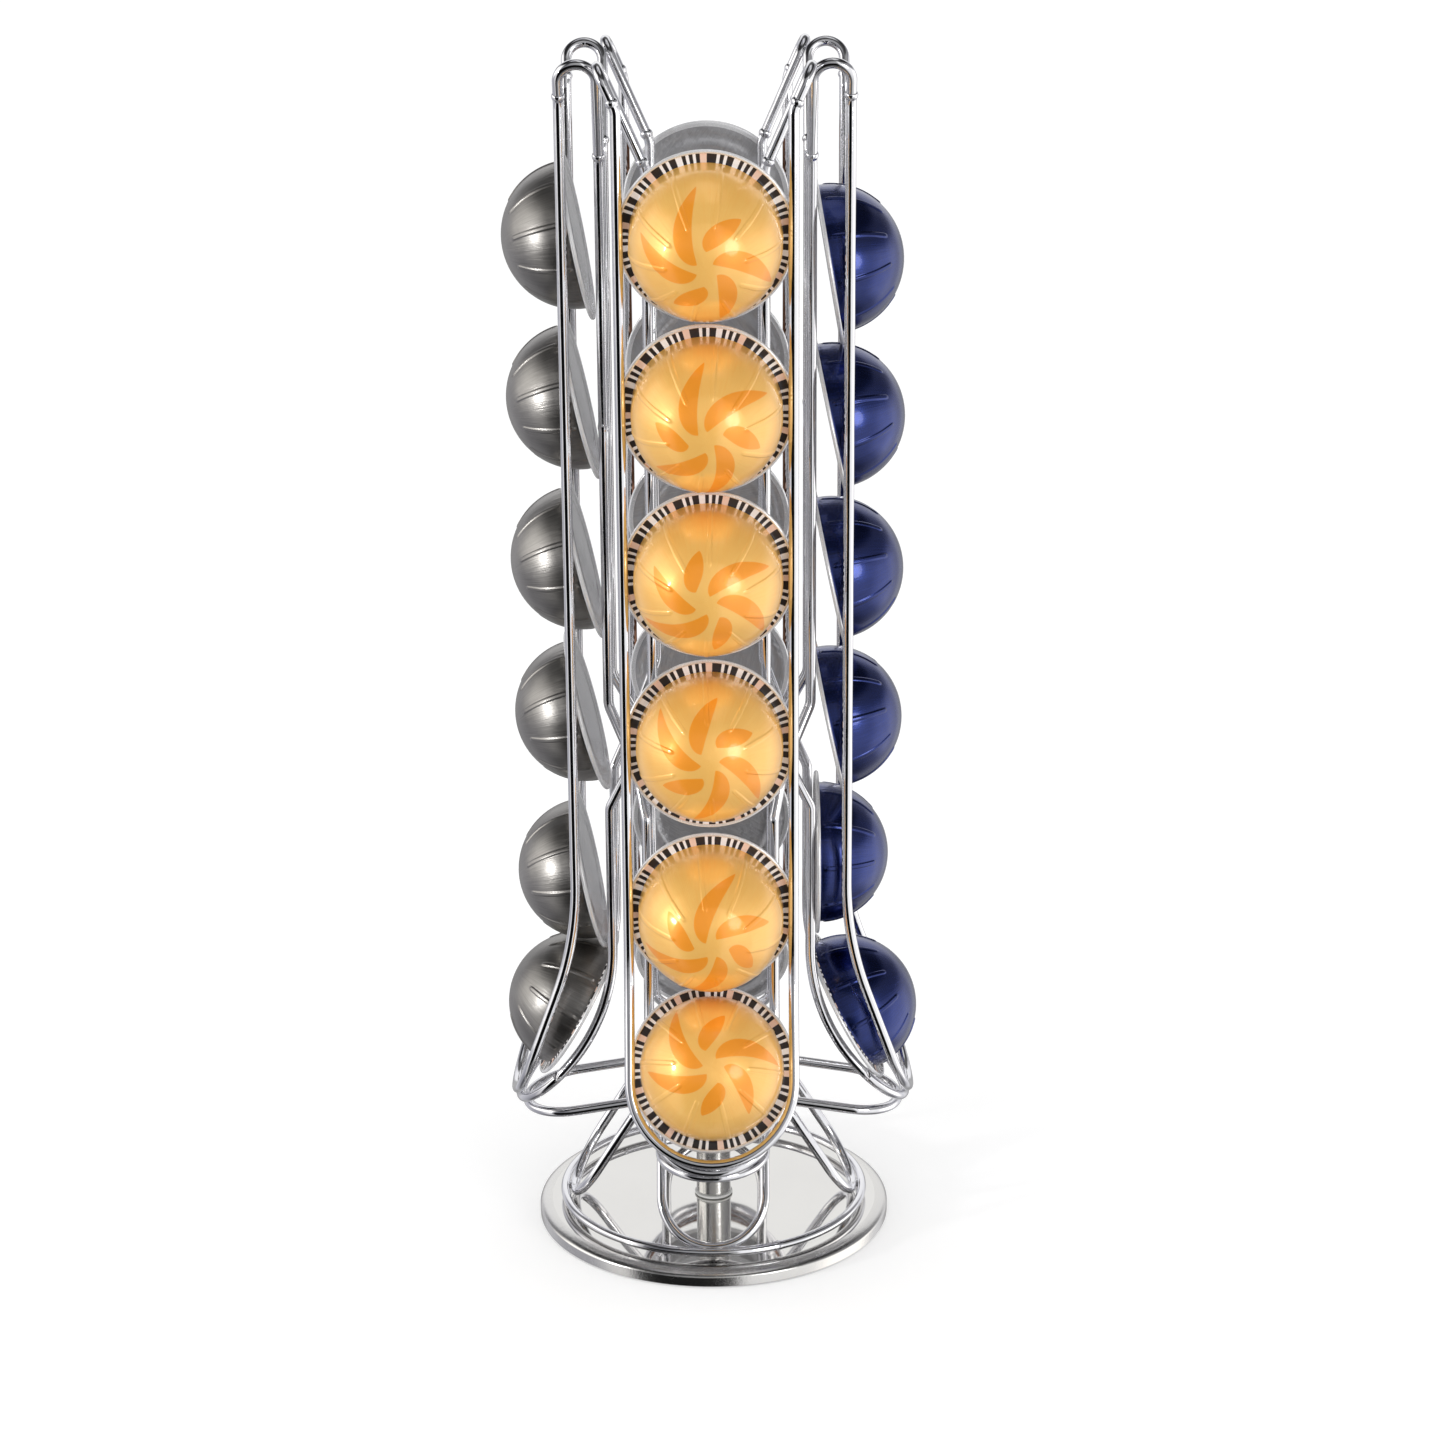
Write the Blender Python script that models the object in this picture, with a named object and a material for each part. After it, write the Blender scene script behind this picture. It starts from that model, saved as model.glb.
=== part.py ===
# Rotating wire dispenser for coffee capsules.
# Units are metres, +Z is up, the origin is where the turning axis meets the table.
# Four upright channels stand 90 degrees apart: front is -Y, right is +X, back is +Y, left is -X.

import math

import bmesh
import bpy
from mathutils import Matrix, Vector

# Driving sizes

# Running clearance and the hairline gap left at every weld and seat
GAP = 0.0003

# Wires
RAIL_WIRE = 0.0038
RING_WIRE = 0.0034

# Capsules
SHELL_DIAMETER = 0.0530
FLANGE_WIDTH = 0.0045
FLANGE_THICKNESS = 0.0008
RIM_BEAD_HEIGHT = 0.0015
SHORT_CAPSULE_HEIGHT = 0.0280
TALL_CAPSULE_HEIGHT = 0.0350

# Loads of the channels, from the lowest capsule up
# Lean: plus points the dome up, minus points it down
CAPSULE_LEANS = {
    "front": (26.0, -3.0, 6.0, -3.5, -6.0, -9.0),
    "right": (28.0, 0.0, 12.0, 12.0, 12.0, 9.5),
    "back": (26.0, 11.0, 11.0, 11.0, 11.0, 11.0),
    "left": (30.0, -11.5, -14.5, -13.5, -12.5, -10.5),
}
# The rails that carry the flanges above the lowest capsule
SEAT_RAILS = {"front": "outer", "right": "inner", "back": "outer", "left": "outer"}
# How much less than a rim's width it is from the middle of one capsule to the next
NESTING_DEPTHS = {
    "front": (0.0023, -0.0024, -0.0013, 0.0024, 0.0018),
    "right": (-0.0009, 0.0079, 0.0044, 0.0047, 0.0046),
    "back": (-0.0012, 0.0017, 0.0015, 0.0012, 0.0015),
    "left": (0.0071, -0.0014, 0.0029, 0.0015, 0.0032),
}
# Lower edge of the lowest rim: how far above the outer foot, and how far in from it
LOWEST_EDGE_RISES = {"front": 0.0013, "right": 0.0040, "back": 0.0015, "left": 0.0066}
LOWEST_EDGE_INSETS = {"front": 0.0072, "right": 0.0098, "back": 0.0074, "left": 0.0092}

# Channels: places of the wire centres
SHELL_CLEARANCE = 0.0018
CHANNEL_DEPTH = 0.0132
HAIRPIN_LEG = 0.0088
INNER_SPACING_ABOVE = 0.0410
INNER_SPACING_BELOW = 0.0468
MOUTH_ABOVE_CAPSULES = 0.0435
MOUTH_FLARE = 24.0
BUTT_WELD_OFFSET = 0.0030
WIRE_BEND_RADIUS = 0.0070

# Pinch at mid height, where neighbouring inner rails are welded
PINCH_HEIGHT = 0.1950
PINCH_HALF_LENGTH = 0.0195
PINCH_WELD_LENGTH = 0.0070
PINCH_DIAGONAL = 0.0400

# Foot of the channels
FOOT_REACH = 0.0257
OUTER_FOOT_HEIGHT = 0.0546
OUTER_FLARE = 20.0
OUTER_FLARE_BEND = 0.1300
INNER_FLARE = 45.0
INNER_FLARE_BEND = 0.0760
INNER_FOOT_LEAN = 21.0
LOOP_END_LEAN = 40.0

# Racetrack loops under the channels
LOOP_WIDTH = 0.0390
LOOP_CENTRE_HEIGHT = 0.0550
LOOP_FLAT_HALF_LENGTH = 0.0260

# Base
DISC_DIAMETER = 0.1364
DISC_HEIGHT = 0.0063
DISC_SHEET = 0.0012
LIP_WIDTH = 0.0048
SKIRT_HEIGHT = 0.0040
SKIRT_CLEARANCE = 0.0006
RING_RADIUS = 0.0583
RING_LIFT = 0.0036
PAD_THICKNESS = 0.0012
FOOT_LAP = 0.0050

# Pivot
BOLT_DIAMETER = 0.0060
BOLT_HEAD_DIAMETER = 0.0110
BOLT_HEAD_HEIGHT = 0.0024
SLEEVE_DIAMETER = 0.0134
THRUST_WASHER_DIAMETER = 0.0180
THRUST_WASHER_THICKNESS = 0.0008
HUB_PLATE_THICKNESS = 0.0020
TOP_WASHER_DIAMETER = 0.0130
TOP_WASHER_THICKNESS = 0.0010
NUT_WIDTH = 0.0100
NUT_HEIGHT = 0.0085

# Counts and facet settings
CHANNEL_NAMES = ("front", "right", "back", "left")
WIRE_BEVEL_SEGMENTS = 2
CAPSULE_SEGMENTS = 16
DISC_SEGMENTS = 40
HIDDEN_DISC_SEGMENTS = 24
ROUND_SEGMENTS = 16
RING_SEGMENTS = 40
HUB_PLATE_SIDES = 8
NUT_SIDES = 6
BEND_STEP = 24.0
OUTER_FLARE_STEP = 7.0
INNER_FLARE_STEP = 11.0
U_BEND_STEP = 20.0
ARCH_STEP = 30.0
SHARP_EDGE_ANGLE = 35.0
SHORTEST_STEP_SHARE = 0.025
# Shares of a quarter turn at which the rounded outlines get their points
DOME_ANGLE_SHARES = (0.12, 0.42, 0.72)
LIP_SHARES = (0, 0.25, 0.5, 0.75, 1)
NUT_DOME_SHARES = (0.1, 0.5)
# Share of the nut's height that is hexagonal
NUT_HEX_SHARE = 0.5
# Shares of the rim's chord across a pair of rails that a leaning flange rests on
OUTER_SEAT_SHARE = 0.87
INNER_SEAT_SHARE = 0.94

# Values worked out from the sizes above

WIRE_CONTACT = RAIL_WIRE + GAP
RIM_DIAMETER = SHELL_DIAMETER + 2 * FLANGE_WIDTH
OUTER_RAIL_SPACING = SHELL_DIAMETER + RAIL_WIRE + 2 * SHELL_CLEARANCE
OUTER_HALF = OUTER_RAIL_SPACING / 2
INNER_HALF_ABOVE = INNER_SPACING_ABOVE / 2
INNER_HALF_BELOW = INNER_SPACING_BELOW / 2
LOOP_HALF = LOOP_WIDTH / 2
MOUTH_SIN = math.sin(math.radians(MOUTH_FLARE))
MOUTH_COS = math.cos(math.radians(MOUTH_FLARE))

# Neighbouring hairpins mirror each other across the corner and meet there with one weld gap,
# which sets how far out the rails stand
ARCH_RADIUS = CHANNEL_DEPTH / 2
ARCH_REACH = ARCH_RADIUS * math.sqrt(1 + MOUTH_SIN ** 2)
ARCH_CENTRE_SIDE = OUTER_HALF + HAIRPIN_LEG * MOUTH_SIN
ARCH_MIDDLE_RADIUS = ARCH_CENTRE_SIDE + ARCH_REACH + WIRE_CONTACT / math.sqrt(2)
OUTER_RAIL_RADIUS = ARCH_MIDDLE_RADIUS + ARCH_RADIUS
INNER_RAIL_RADIUS = ARCH_MIDDLE_RADIUS - ARCH_RADIUS
OUTER_FOOT_RADIUS = OUTER_RAIL_RADIUS + FOOT_REACH

# A flange lies against a rail with its bead, one weld gap away
RIM_SEAT = RAIL_WIRE / 2 + GAP + RIM_BEAD_HEIGHT / 2
OUTER_CHORD = math.sqrt((RIM_DIAMETER / 2) ** 2 - OUTER_HALF ** 2)
INNER_CHORD = math.sqrt((RIM_DIAMETER / 2) ** 2 - INNER_HALF_ABOVE ** 2)


def capsule_heights(channel):
    """Heights of the rims of one channel's capsules, each from the one below it."""
    lowest_lean = math.radians(CAPSULE_LEANS[channel][0])
    lowest_edge = OUTER_FOOT_HEIGHT + LOWEST_EDGE_RISES[channel]
    heights = [lowest_edge + RIM_DIAMETER / 2 * math.cos(lowest_lean)]
    for nesting in NESTING_DEPTHS[channel]:
        heights.append(heights[-1] + RIM_DIAMETER - nesting)
    return heights


# The mouth stands above the highest capsule of the four channels
HIGHEST_CAPSULE = max(capsule_heights(channel)[-1] for channel in CHANNEL_NAMES)
OUTER_BEND_HEIGHT = HIGHEST_CAPSULE + MOUTH_ABOVE_CAPSULES

# The hairpin's plane leans sideways by MOUTH_FLARE and holds both rail bends
INNER_BEND_HEIGHT = OUTER_BEND_HEIGHT - (OUTER_HALF - INNER_HALF_ABOVE) * MOUTH_COS / MOUTH_SIN

# The pinched wires stand side by side across the corner's diagonal
PINCH_OFFSET = WIRE_CONTACT / math.sqrt(8)
PINCH_SIDE = PINCH_DIAGONAL / math.sqrt(2) - PINCH_OFFSET
PINCH_RADIUS = PINCH_DIAGONAL / math.sqrt(2) + PINCH_OFFSET

# The inner foot hangs under the outer one, and the loop's end under the inner one
INNER_FOOT_RADIUS = OUTER_FOOT_RADIUS - WIRE_CONTACT * math.sin(math.radians(INNER_FOOT_LEAN))
INNER_FOOT_HEIGHT = OUTER_FOOT_HEIGHT - WIRE_CONTACT * math.cos(math.radians(INNER_FOOT_LEAN))
LOOP_END_RADIUS = INNER_FOOT_RADIUS - WIRE_CONTACT * math.sin(math.radians(LOOP_END_LEAN))
LOOP_END_HEIGHT = INNER_FOOT_HEIGHT - WIRE_CONTACT * math.cos(math.radians(LOOP_END_LEAN))

# Heights on the base and the pivot
RING_HEIGHT = DISC_HEIGHT + RING_LIFT
CROSS_LOOP_HEIGHT = LOOP_CENTRE_HEIGHT - WIRE_CONTACT
HUB_PLATE_TOP = CROSS_LOOP_HEIGHT - RAIL_WIRE / 2 - GAP
HUB_PLATE_BOTTOM = HUB_PLATE_TOP - HUB_PLATE_THICKNESS
THRUST_WASHER_BOTTOM = DISC_HEIGHT + GAP
SLEEVE_BOTTOM = THRUST_WASHER_BOTTOM + THRUST_WASHER_THICKNESS + GAP
SLEEVE_TOP = HUB_PLATE_BOTTOM - GAP
TOP_WASHER_BOTTOM = HUB_PLATE_TOP + GAP
NUT_BOTTOM = TOP_WASHER_BOTTOM + TOP_WASHER_THICKNESS + GAP
FOOT_END_RADIUS = RING_RADIUS - RING_WIRE / 2 - GAP - RAIL_WIRE / 2
FOOT_TOP_RADIUS = LOOP_HALF + RAIL_WIRE + 2 * GAP


# Materials

def make_material(name, colour, roughness, metallic):
    material = bpy.data.materials.new(name)
    material.use_nodes = True
    shader = material.node_tree.nodes["Principled BSDF"]
    shader.inputs["Base Color"].default_value = (*colour, 1.0)
    shader.inputs["Roughness"].default_value = roughness
    shader.inputs["Metallic"].default_value = metallic
    material.diffuse_color = (*colour, 1.0)
    return material


# Shape helpers

def add_arc(points, corner, before, after, radius, step):
    """Replace one corner of a wire by a round bend of the given radius."""
    incoming = (corner - before).normalized()
    outgoing = (after - corner).normalized()
    turn = incoming.angle(outgoing)
    tangent = radius * math.tan(turn / 2)
    start = corner - incoming * tangent
    to_centre = (outgoing - incoming * incoming.dot(outgoing)).normalized()
    centre = start + to_centre * radius
    count = max(1, round(math.degrees(turn) / step))
    for index in range(count + 1):
        angle = turn * index / count
        spoke = incoming * math.sin(angle) - to_centre * math.cos(angle)
        points.append(centre + spoke * radius)


def bent_path(corners):
    """Corners are (point, bend radius, degrees between points). Ends have no bend."""
    points = [corners[0][0]]
    for before, here, after in zip(corners, corners[1:], corners[2:]):
        add_arc(points, here[0], before[0], after[0], here[1], here[2])
    points.append(corners[-1][0])
    return points


def clean_path(points, cyclic):
    """Drop points that fall on the one before them."""
    kept = []
    shortest = RAIL_WIRE * SHORTEST_STEP_SHARE
    for point in points:
        if not kept or (point - kept[-1]).length > shortest:
            kept.append(point)
    if cyclic and (kept[0] - kept[-1]).length <= shortest:
        kept.pop()
    return kept


def wire_curve(name, points, diameter, cyclic=False):
    """A round wire along the points: a bevelled poly curve with filled caps."""
    points = clean_path(points, cyclic)
    curve = bpy.data.curves.new(name, "CURVE")
    curve.dimensions = "3D"
    curve.bevel_depth = diameter / 2
    curve.bevel_resolution = WIRE_BEVEL_SEGMENTS
    curve.use_fill_caps = not cyclic
    spline = curve.splines.new("POLY")
    spline.points.add(len(points) - 1)
    for slot, point in zip(spline.points, points):
        slot.co = (*point, 1.0)
        slot.radius = 1.0
    spline.use_cyclic_u = cyclic
    spline.use_smooth = True
    return curve


def turned_mesh(name, profile, segments):
    """Turn a closed outline of (radius, height) points about Z. Points on the axis become poles."""
    mesh = bpy.data.meshes.new(name)
    build = bmesh.new()
    rings = []
    for radius, height in profile:
        if radius == 0:
            rings.append([build.verts.new((0, 0, height))])
            continue
        ring = []
        for index in range(segments):
            angle = 2 * math.pi * index / segments
            ring.append(build.verts.new((radius * math.cos(angle), radius * math.sin(angle), height)))
        rings.append(ring)
    closed = rings if len(rings[0]) == 1 else rings + [rings[0]]
    for lower, upper in zip(closed, closed[1:]):
        for index in range(segments):
            following = (index + 1) % segments
            if len(lower) == 1:
                build.faces.new((lower[0], upper[following], upper[index]))
            elif len(upper) == 1:
                build.faces.new((lower[index], lower[following], upper[0]))
            else:
                build.faces.new((lower[index], lower[following], upper[following], upper[index]))
    bmesh.ops.recalc_face_normals(build, faces=build.faces)
    build.to_mesh(mesh)
    build.free()
    mesh.shade_smooth()
    mesh.set_sharp_from_angle(angle=math.radians(SHARP_EDGE_ANGLE))
    return mesh


def add_object(name, data, material, parent):
    if not data.materials:
        data.materials.append(material)
    thing = bpy.data.objects.new(name, data)
    bpy.context.scene.collection.objects.link(thing)
    thing.parent = parent
    return thing


def add_empty(name, parent=None):
    empty = bpy.data.objects.new(name, None)
    bpy.context.scene.collection.objects.link(empty)
    empty.parent = parent
    return empty


# Wires of one channel, drawn for the front one: side is along X, radius points to -Y

def place(side, radius, height):
    return Vector((side, -radius, height))


def outer_rail_path():
    """One wire: up both sides of the channel, with a U under the lowest capsule."""
    flare_rise = (OUTER_FOOT_RADIUS - OUTER_RAIL_RADIUS) / math.tan(math.radians(OUTER_FLARE))
    flare_height = OUTER_FOOT_HEIGHT + flare_rise
    weld_side = OUTER_HALF + BUTT_WELD_OFFSET * MOUTH_SIN
    weld_height = OUTER_BEND_HEIGHT + BUTT_WELD_OFFSET * MOUTH_COS
    half = [
        (place(weld_side, OUTER_RAIL_RADIUS, weld_height), 0, BEND_STEP),
        (place(OUTER_HALF, OUTER_RAIL_RADIUS, OUTER_BEND_HEIGHT), WIRE_BEND_RADIUS, BEND_STEP),
        (place(OUTER_HALF, OUTER_RAIL_RADIUS, flare_height), OUTER_FLARE_BEND, OUTER_FLARE_STEP),
        (place(OUTER_HALF, OUTER_FOOT_RADIUS, OUTER_FOOT_HEIGHT), OUTER_HALF, U_BEND_STEP),
    ]
    return bent_path(half + mirrored(half))


def inner_rail_path():
    """One wire behind the lids, pinched out to its neighbour at mid height."""
    flare_rise = (INNER_FOOT_RADIUS - INNER_RAIL_RADIUS) / math.tan(math.radians(INNER_FLARE))
    flare_height = INNER_FOOT_HEIGHT + flare_rise
    weld_side = INNER_HALF_ABOVE + BUTT_WELD_OFFSET * MOUTH_SIN
    weld_height = INNER_BEND_HEIGHT + BUTT_WELD_OFFSET * MOUTH_COS
    pinch_top = PINCH_HEIGHT + PINCH_WELD_LENGTH / 2
    pinch_bottom = PINCH_HEIGHT - PINCH_WELD_LENGTH / 2
    half = [
        (place(weld_side, INNER_RAIL_RADIUS, weld_height), 0, BEND_STEP),
        (place(INNER_HALF_ABOVE, INNER_RAIL_RADIUS, INNER_BEND_HEIGHT), WIRE_BEND_RADIUS, BEND_STEP),
        (place(INNER_HALF_ABOVE, INNER_RAIL_RADIUS, PINCH_HEIGHT + PINCH_HALF_LENGTH),
         WIRE_BEND_RADIUS, BEND_STEP),
        (place(PINCH_SIDE, PINCH_RADIUS, pinch_top), WIRE_BEND_RADIUS, BEND_STEP),
        (place(PINCH_SIDE, PINCH_RADIUS, pinch_bottom), WIRE_BEND_RADIUS, BEND_STEP),
        (place(INNER_HALF_BELOW, INNER_RAIL_RADIUS, PINCH_HEIGHT - PINCH_HALF_LENGTH),
         WIRE_BEND_RADIUS, BEND_STEP),
        (place(INNER_HALF_BELOW, INNER_RAIL_RADIUS, flare_height), INNER_FLARE_BEND, INNER_FLARE_STEP),
        (place(INNER_HALF_BELOW, INNER_FOOT_RADIUS, INNER_FOOT_HEIGHT), INNER_HALF_BELOW, U_BEND_STEP),
    ]
    return bent_path(half + mirrored(half))


def mirrored(half):
    """The same corners on the other side of the channel, in running order."""
    return [(Vector((-point.x, point.y, point.z)), radius, step) for point, radius, step in reversed(half)]


def hairpin_path(sign):
    """An arch that leans out of the channel and joins the outer rail to the inner one."""
    def on_plane(from_outer_bend, radius):
        side = OUTER_HALF + from_outer_bend * MOUTH_SIN
        return place(sign * side, radius, OUTER_BEND_HEIGHT + from_outer_bend * MOUTH_COS)

    inner_bend = (INNER_HALF_ABOVE - OUTER_HALF) / MOUTH_SIN
    weld_start = BUTT_WELD_OFFSET + GAP
    arch_top = HAIRPIN_LEG + ARCH_RADIUS
    return bent_path([
        (on_plane(weld_start, OUTER_RAIL_RADIUS), 0, U_BEND_STEP),
        (on_plane(arch_top, OUTER_RAIL_RADIUS), ARCH_RADIUS, ARCH_STEP),
        (on_plane(arch_top, INNER_RAIL_RADIUS), ARCH_RADIUS, ARCH_STEP),
        (on_plane(inner_bend + weld_start, INNER_RAIL_RADIUS), 0, U_BEND_STEP),
    ])


# Loops and feet

def racetrack_path(centre_height):
    """A closed loop along Y with round ends, its middle lifted over the hub plate."""
    corners = []
    for side, end in ((1, 1), (1, -1), (-1, -1), (-1, 1)):
        shoulder = place(side * LOOP_HALF, end * LOOP_FLAT_HALF_LENGTH, centre_height)
        tip = place(side * LOOP_HALF, end * LOOP_END_RADIUS, LOOP_END_HEIGHT)
        bend = (shoulder, WIRE_BEND_RADIUS * 2, BEND_STEP)
        turn = (tip, LOOP_HALF, ARCH_STEP)
        corners += [turn, bend] if side * end > 0 else [bend, turn]
    return closed_path(corners)


def closed_path(corners):
    points = []
    count = len(corners)
    for index, here in enumerate(corners):
        before = corners[index - 1]
        after = corners[(index + 1) % count]
        add_arc(points, here[0], before[0], after[0], here[1], here[2])
    return points


def foot_path(loop_height):
    """A U that stands on the base ring, its legs lapped under a racetrack loop."""
    lap_height = loop_height - WIRE_CONTACT
    half = [
        (place(LOOP_HALF, FOOT_TOP_RADIUS, lap_height), 0, BEND_STEP),
        (place(LOOP_HALF, FOOT_TOP_RADIUS + FOOT_LAP, lap_height), WIRE_BEND_RADIUS, BEND_STEP),
        (place(LOOP_HALF, FOOT_END_RADIUS, RING_HEIGHT), LOOP_HALF, ARCH_STEP),
    ]
    return bent_path(half + mirrored(half))


def circle_path(radius, height, segments):
    points = []
    for index in range(segments):
        angle = 2 * math.pi * index / segments
        points.append(Vector((radius * math.cos(angle), radius * math.sin(angle), height)))
    return points


# Turned pieces

def capsule_profile(height):
    """Lid, rolled rim, flat flange and dome, from the lid's centre to the dome's top."""
    rim = RIM_DIAMETER / 2
    bead = RIM_BEAD_HEIGHT / 2
    shell = SHELL_DIAMETER / 2
    dome_height = height - RIM_BEAD_HEIGHT
    wall_height = dome_height - shell if dome_height > shell else 0
    dome_base = RIM_BEAD_HEIGHT + wall_height
    profile = [
        (0, 0),
        (rim - bead, 0),
        (rim, bead),
        (rim - bead, RIM_BEAD_HEIGHT),
        (shell, FLANGE_THICKNESS),
    ]
    for share in DOME_ANGLE_SHARES:
        angle = share * math.pi / 2
        profile.append((shell * math.cos(angle), dome_base + (height - dome_base) * math.sin(angle)))
    profile.append((0, height))
    return profile


def disc_profile():
    """A pressed cap: flat mirror top, rounded lip and short skirt, open below."""
    outer = DISC_DIAMETER / 2
    flat = outer - LIP_WIDTH
    bore = BOLT_DIAMETER / 2 + GAP
    shoulder = DISC_HEIGHT - SKIRT_HEIGHT
    lip = []
    for share in LIP_SHARES:
        angle = share * math.pi / 2
        lip.append((flat + LIP_WIDTH * math.sin(angle), DISC_HEIGHT - shoulder * (1 - math.cos(angle))))
    inner_flat = (flat, DISC_HEIGHT - DISC_SHEET)
    inner_lip = (outer - DISC_SHEET, SKIRT_HEIGHT - DISC_SHEET)
    return [
        (bore, DISC_HEIGHT),
        *lip,
        (outer, SKIRT_CLEARANCE),
        (outer - DISC_SHEET, SKIRT_CLEARANCE),
        inner_lip,
        inner_flat,
        (bore, DISC_HEIGHT - DISC_SHEET),
    ]


def plain_ring_profile(bore, outer, bottom, top):
    return [(bore, bottom), (outer, bottom), (outer, top), (bore, top)]


def make_base(materials, parent):
    bolt_radius = BOLT_DIAMETER / 2
    head_radius = BOLT_HEAD_DIAMETER / 2
    head_top = DISC_HEIGHT - DISC_SHEET - GAP
    head_bottom = head_top - BOLT_HEAD_HEIGHT
    head_room = head_radius + GAP
    disc_outer = DISC_DIAMETER / 2
    ballast_outer = disc_outer - LIP_WIDTH - GAP
    ballast_bottom = PAD_THICKNESS + GAP
    ballast_top = DISC_HEIGHT - DISC_SHEET - GAP
    add_object("base_disc", turned_mesh("base_disc", disc_profile(), DISC_SEGMENTS),
               materials["steel"], parent)
    ballast = plain_ring_profile(head_room, ballast_outer, ballast_bottom, ballast_top)
    add_object("base_ballast", turned_mesh("base_ballast", ballast, HIDDEN_DISC_SEGMENTS),
               materials["iron"], parent)
    pad_bore = head_radius - GAP
    pad = plain_ring_profile(pad_bore, ballast_outer, 0, PAD_THICKNESS)
    add_object("base_pad", turned_mesh("base_pad", pad, HIDDEN_DISC_SEGMENTS), materials["rubber"], parent)
    nut_top = NUT_BOTTOM + NUT_HEIGHT
    shank_top = NUT_BOTTOM - GAP
    bolt = [
        (0, head_bottom),
        (head_radius, head_bottom),
        (head_radius, head_top),
        (bolt_radius, head_top),
        (bolt_radius, shank_top),
        (0, shank_top),
    ]
    add_object("pivot_bolt", turned_mesh("pivot_bolt", bolt, ROUND_SEGMENTS), materials["steel"], parent)
    washer = plain_ring_profile(bolt_radius + GAP, THRUST_WASHER_DIAMETER / 2, THRUST_WASHER_BOTTOM,
                                THRUST_WASHER_BOTTOM + THRUST_WASHER_THICKNESS)
    add_object("thrust_washer", turned_mesh("thrust_washer", washer, ROUND_SEGMENTS),
               materials["plastic"], parent)
    top_washer = plain_ring_profile(bolt_radius + GAP, TOP_WASHER_DIAMETER / 2, TOP_WASHER_BOTTOM,
                                    TOP_WASHER_BOTTOM + TOP_WASHER_THICKNESS)
    add_object("top_washer", turned_mesh("top_washer", top_washer, ROUND_SEGMENTS),
               materials["steel"], parent)
    corner_radius = NUT_WIDTH / math.sqrt(3)
    skirt_top = NUT_BOTTOM + NUT_HEIGHT * NUT_HEX_SHARE
    nut = [(0, NUT_BOTTOM), (corner_radius, NUT_BOTTOM), (corner_radius, skirt_top)]
    for share in NUT_DOME_SHARES:
        angle = share * math.pi / 2
        nut.append((NUT_WIDTH / 2 * math.cos(angle), skirt_top + (nut_top - skirt_top) * math.sin(angle)))
    nut.append((0, nut_top))
    add_object("pivot_nut", turned_mesh("pivot_nut", nut, NUT_SIDES), materials["steel"], parent)


def make_hub(materials, parent):
    bore = BOLT_DIAMETER / 2 + GAP
    sleeve = plain_ring_profile(bore, SLEEVE_DIAMETER / 2, SLEEVE_BOTTOM, SLEEVE_TOP)
    add_object("pivot_sleeve", turned_mesh("pivot_sleeve", sleeve, ROUND_SEGMENTS),
               materials["steel"], parent)
    half = LOOP_HALF + RAIL_WIRE / 2 - GAP
    mesh = bpy.data.meshes.new("hub_plate")
    build = bmesh.new()
    outer_ring = plate_ring(build, half / math.cos(math.pi / HUB_PLATE_SIDES))
    bore_ring = plate_ring(build, bore)
    for index in range(HUB_PLATE_SIDES):
        following = (index + 1) % HUB_PLATE_SIDES
        build.faces.new((outer_ring[index], outer_ring[following], bore_ring[following], bore_ring[index]))
    slab = bmesh.ops.extrude_face_region(build, geom=build.faces[:])
    lifted = [item for item in slab["geom"] if isinstance(item, bmesh.types.BMVert)]
    bmesh.ops.translate(build, verts=lifted, vec=(0, 0, HUB_PLATE_THICKNESS))
    bmesh.ops.recalc_face_normals(build, faces=build.faces)
    build.to_mesh(mesh)
    build.free()
    add_object("hub_plate", mesh, materials["chrome"], parent)


def plate_ring(build, radius):
    """Corners of the plate, turned by half a side so that its flats face the channels."""
    ring = []
    for index in range(HUB_PLATE_SIDES):
        angle = 2 * math.pi * (index + 0.5) / HUB_PLATE_SIDES
        ring.append(build.verts.new((radius * math.cos(angle), radius * math.sin(angle), HUB_PLATE_BOTTOM)))
    return ring


def make_frame(materials, parent):
    chrome = materials["chrome"]
    ring = wire_curve("base_ring", circle_path(RING_RADIUS, RING_HEIGHT, RING_SEGMENTS), RING_WIRE, True)
    add_object("base_ring", ring, chrome, parent)
    lower = wire_curve("front_to_back_loop", racetrack_path(CROSS_LOOP_HEIGHT), RAIL_WIRE, True)
    add_object("front_to_back_loop", lower, chrome, parent)
    upper = wire_curve("side_to_side_loop", racetrack_path(LOOP_CENTRE_HEIGHT), RAIL_WIRE, True)
    across = add_object("side_to_side_loop", upper, chrome, parent)
    across.rotation_euler.z = math.pi / 2
    outer_rail = wire_curve("outer_rail", outer_rail_path(), RAIL_WIRE)
    inner_rail = wire_curve("inner_rail", inner_rail_path(), RAIL_WIRE)
    hairpins = {"right_hairpin": wire_curve("right_hairpin", hairpin_path(1), RAIL_WIRE),
                "left_hairpin": wire_curve("left_hairpin", hairpin_path(-1), RAIL_WIRE)}
    feet = {0: wire_curve("foot_under_lower_loop", foot_path(CROSS_LOOP_HEIGHT), RAIL_WIRE),
            1: wire_curve("foot_under_upper_loop", foot_path(LOOP_CENTRE_HEIGHT), RAIL_WIRE)}
    for index, channel in enumerate(CHANNEL_NAMES):
        pieces = {"outer_rail": outer_rail, "inner_rail": inner_rail, **hairpins,
                  "foot_loop": feet[index % 2]}
        for piece_name, curve in pieces.items():
            piece = add_object(f"{channel}_{piece_name}", curve, chrome, parent)
            piece.rotation_euler.z = index * math.pi / 2


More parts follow.
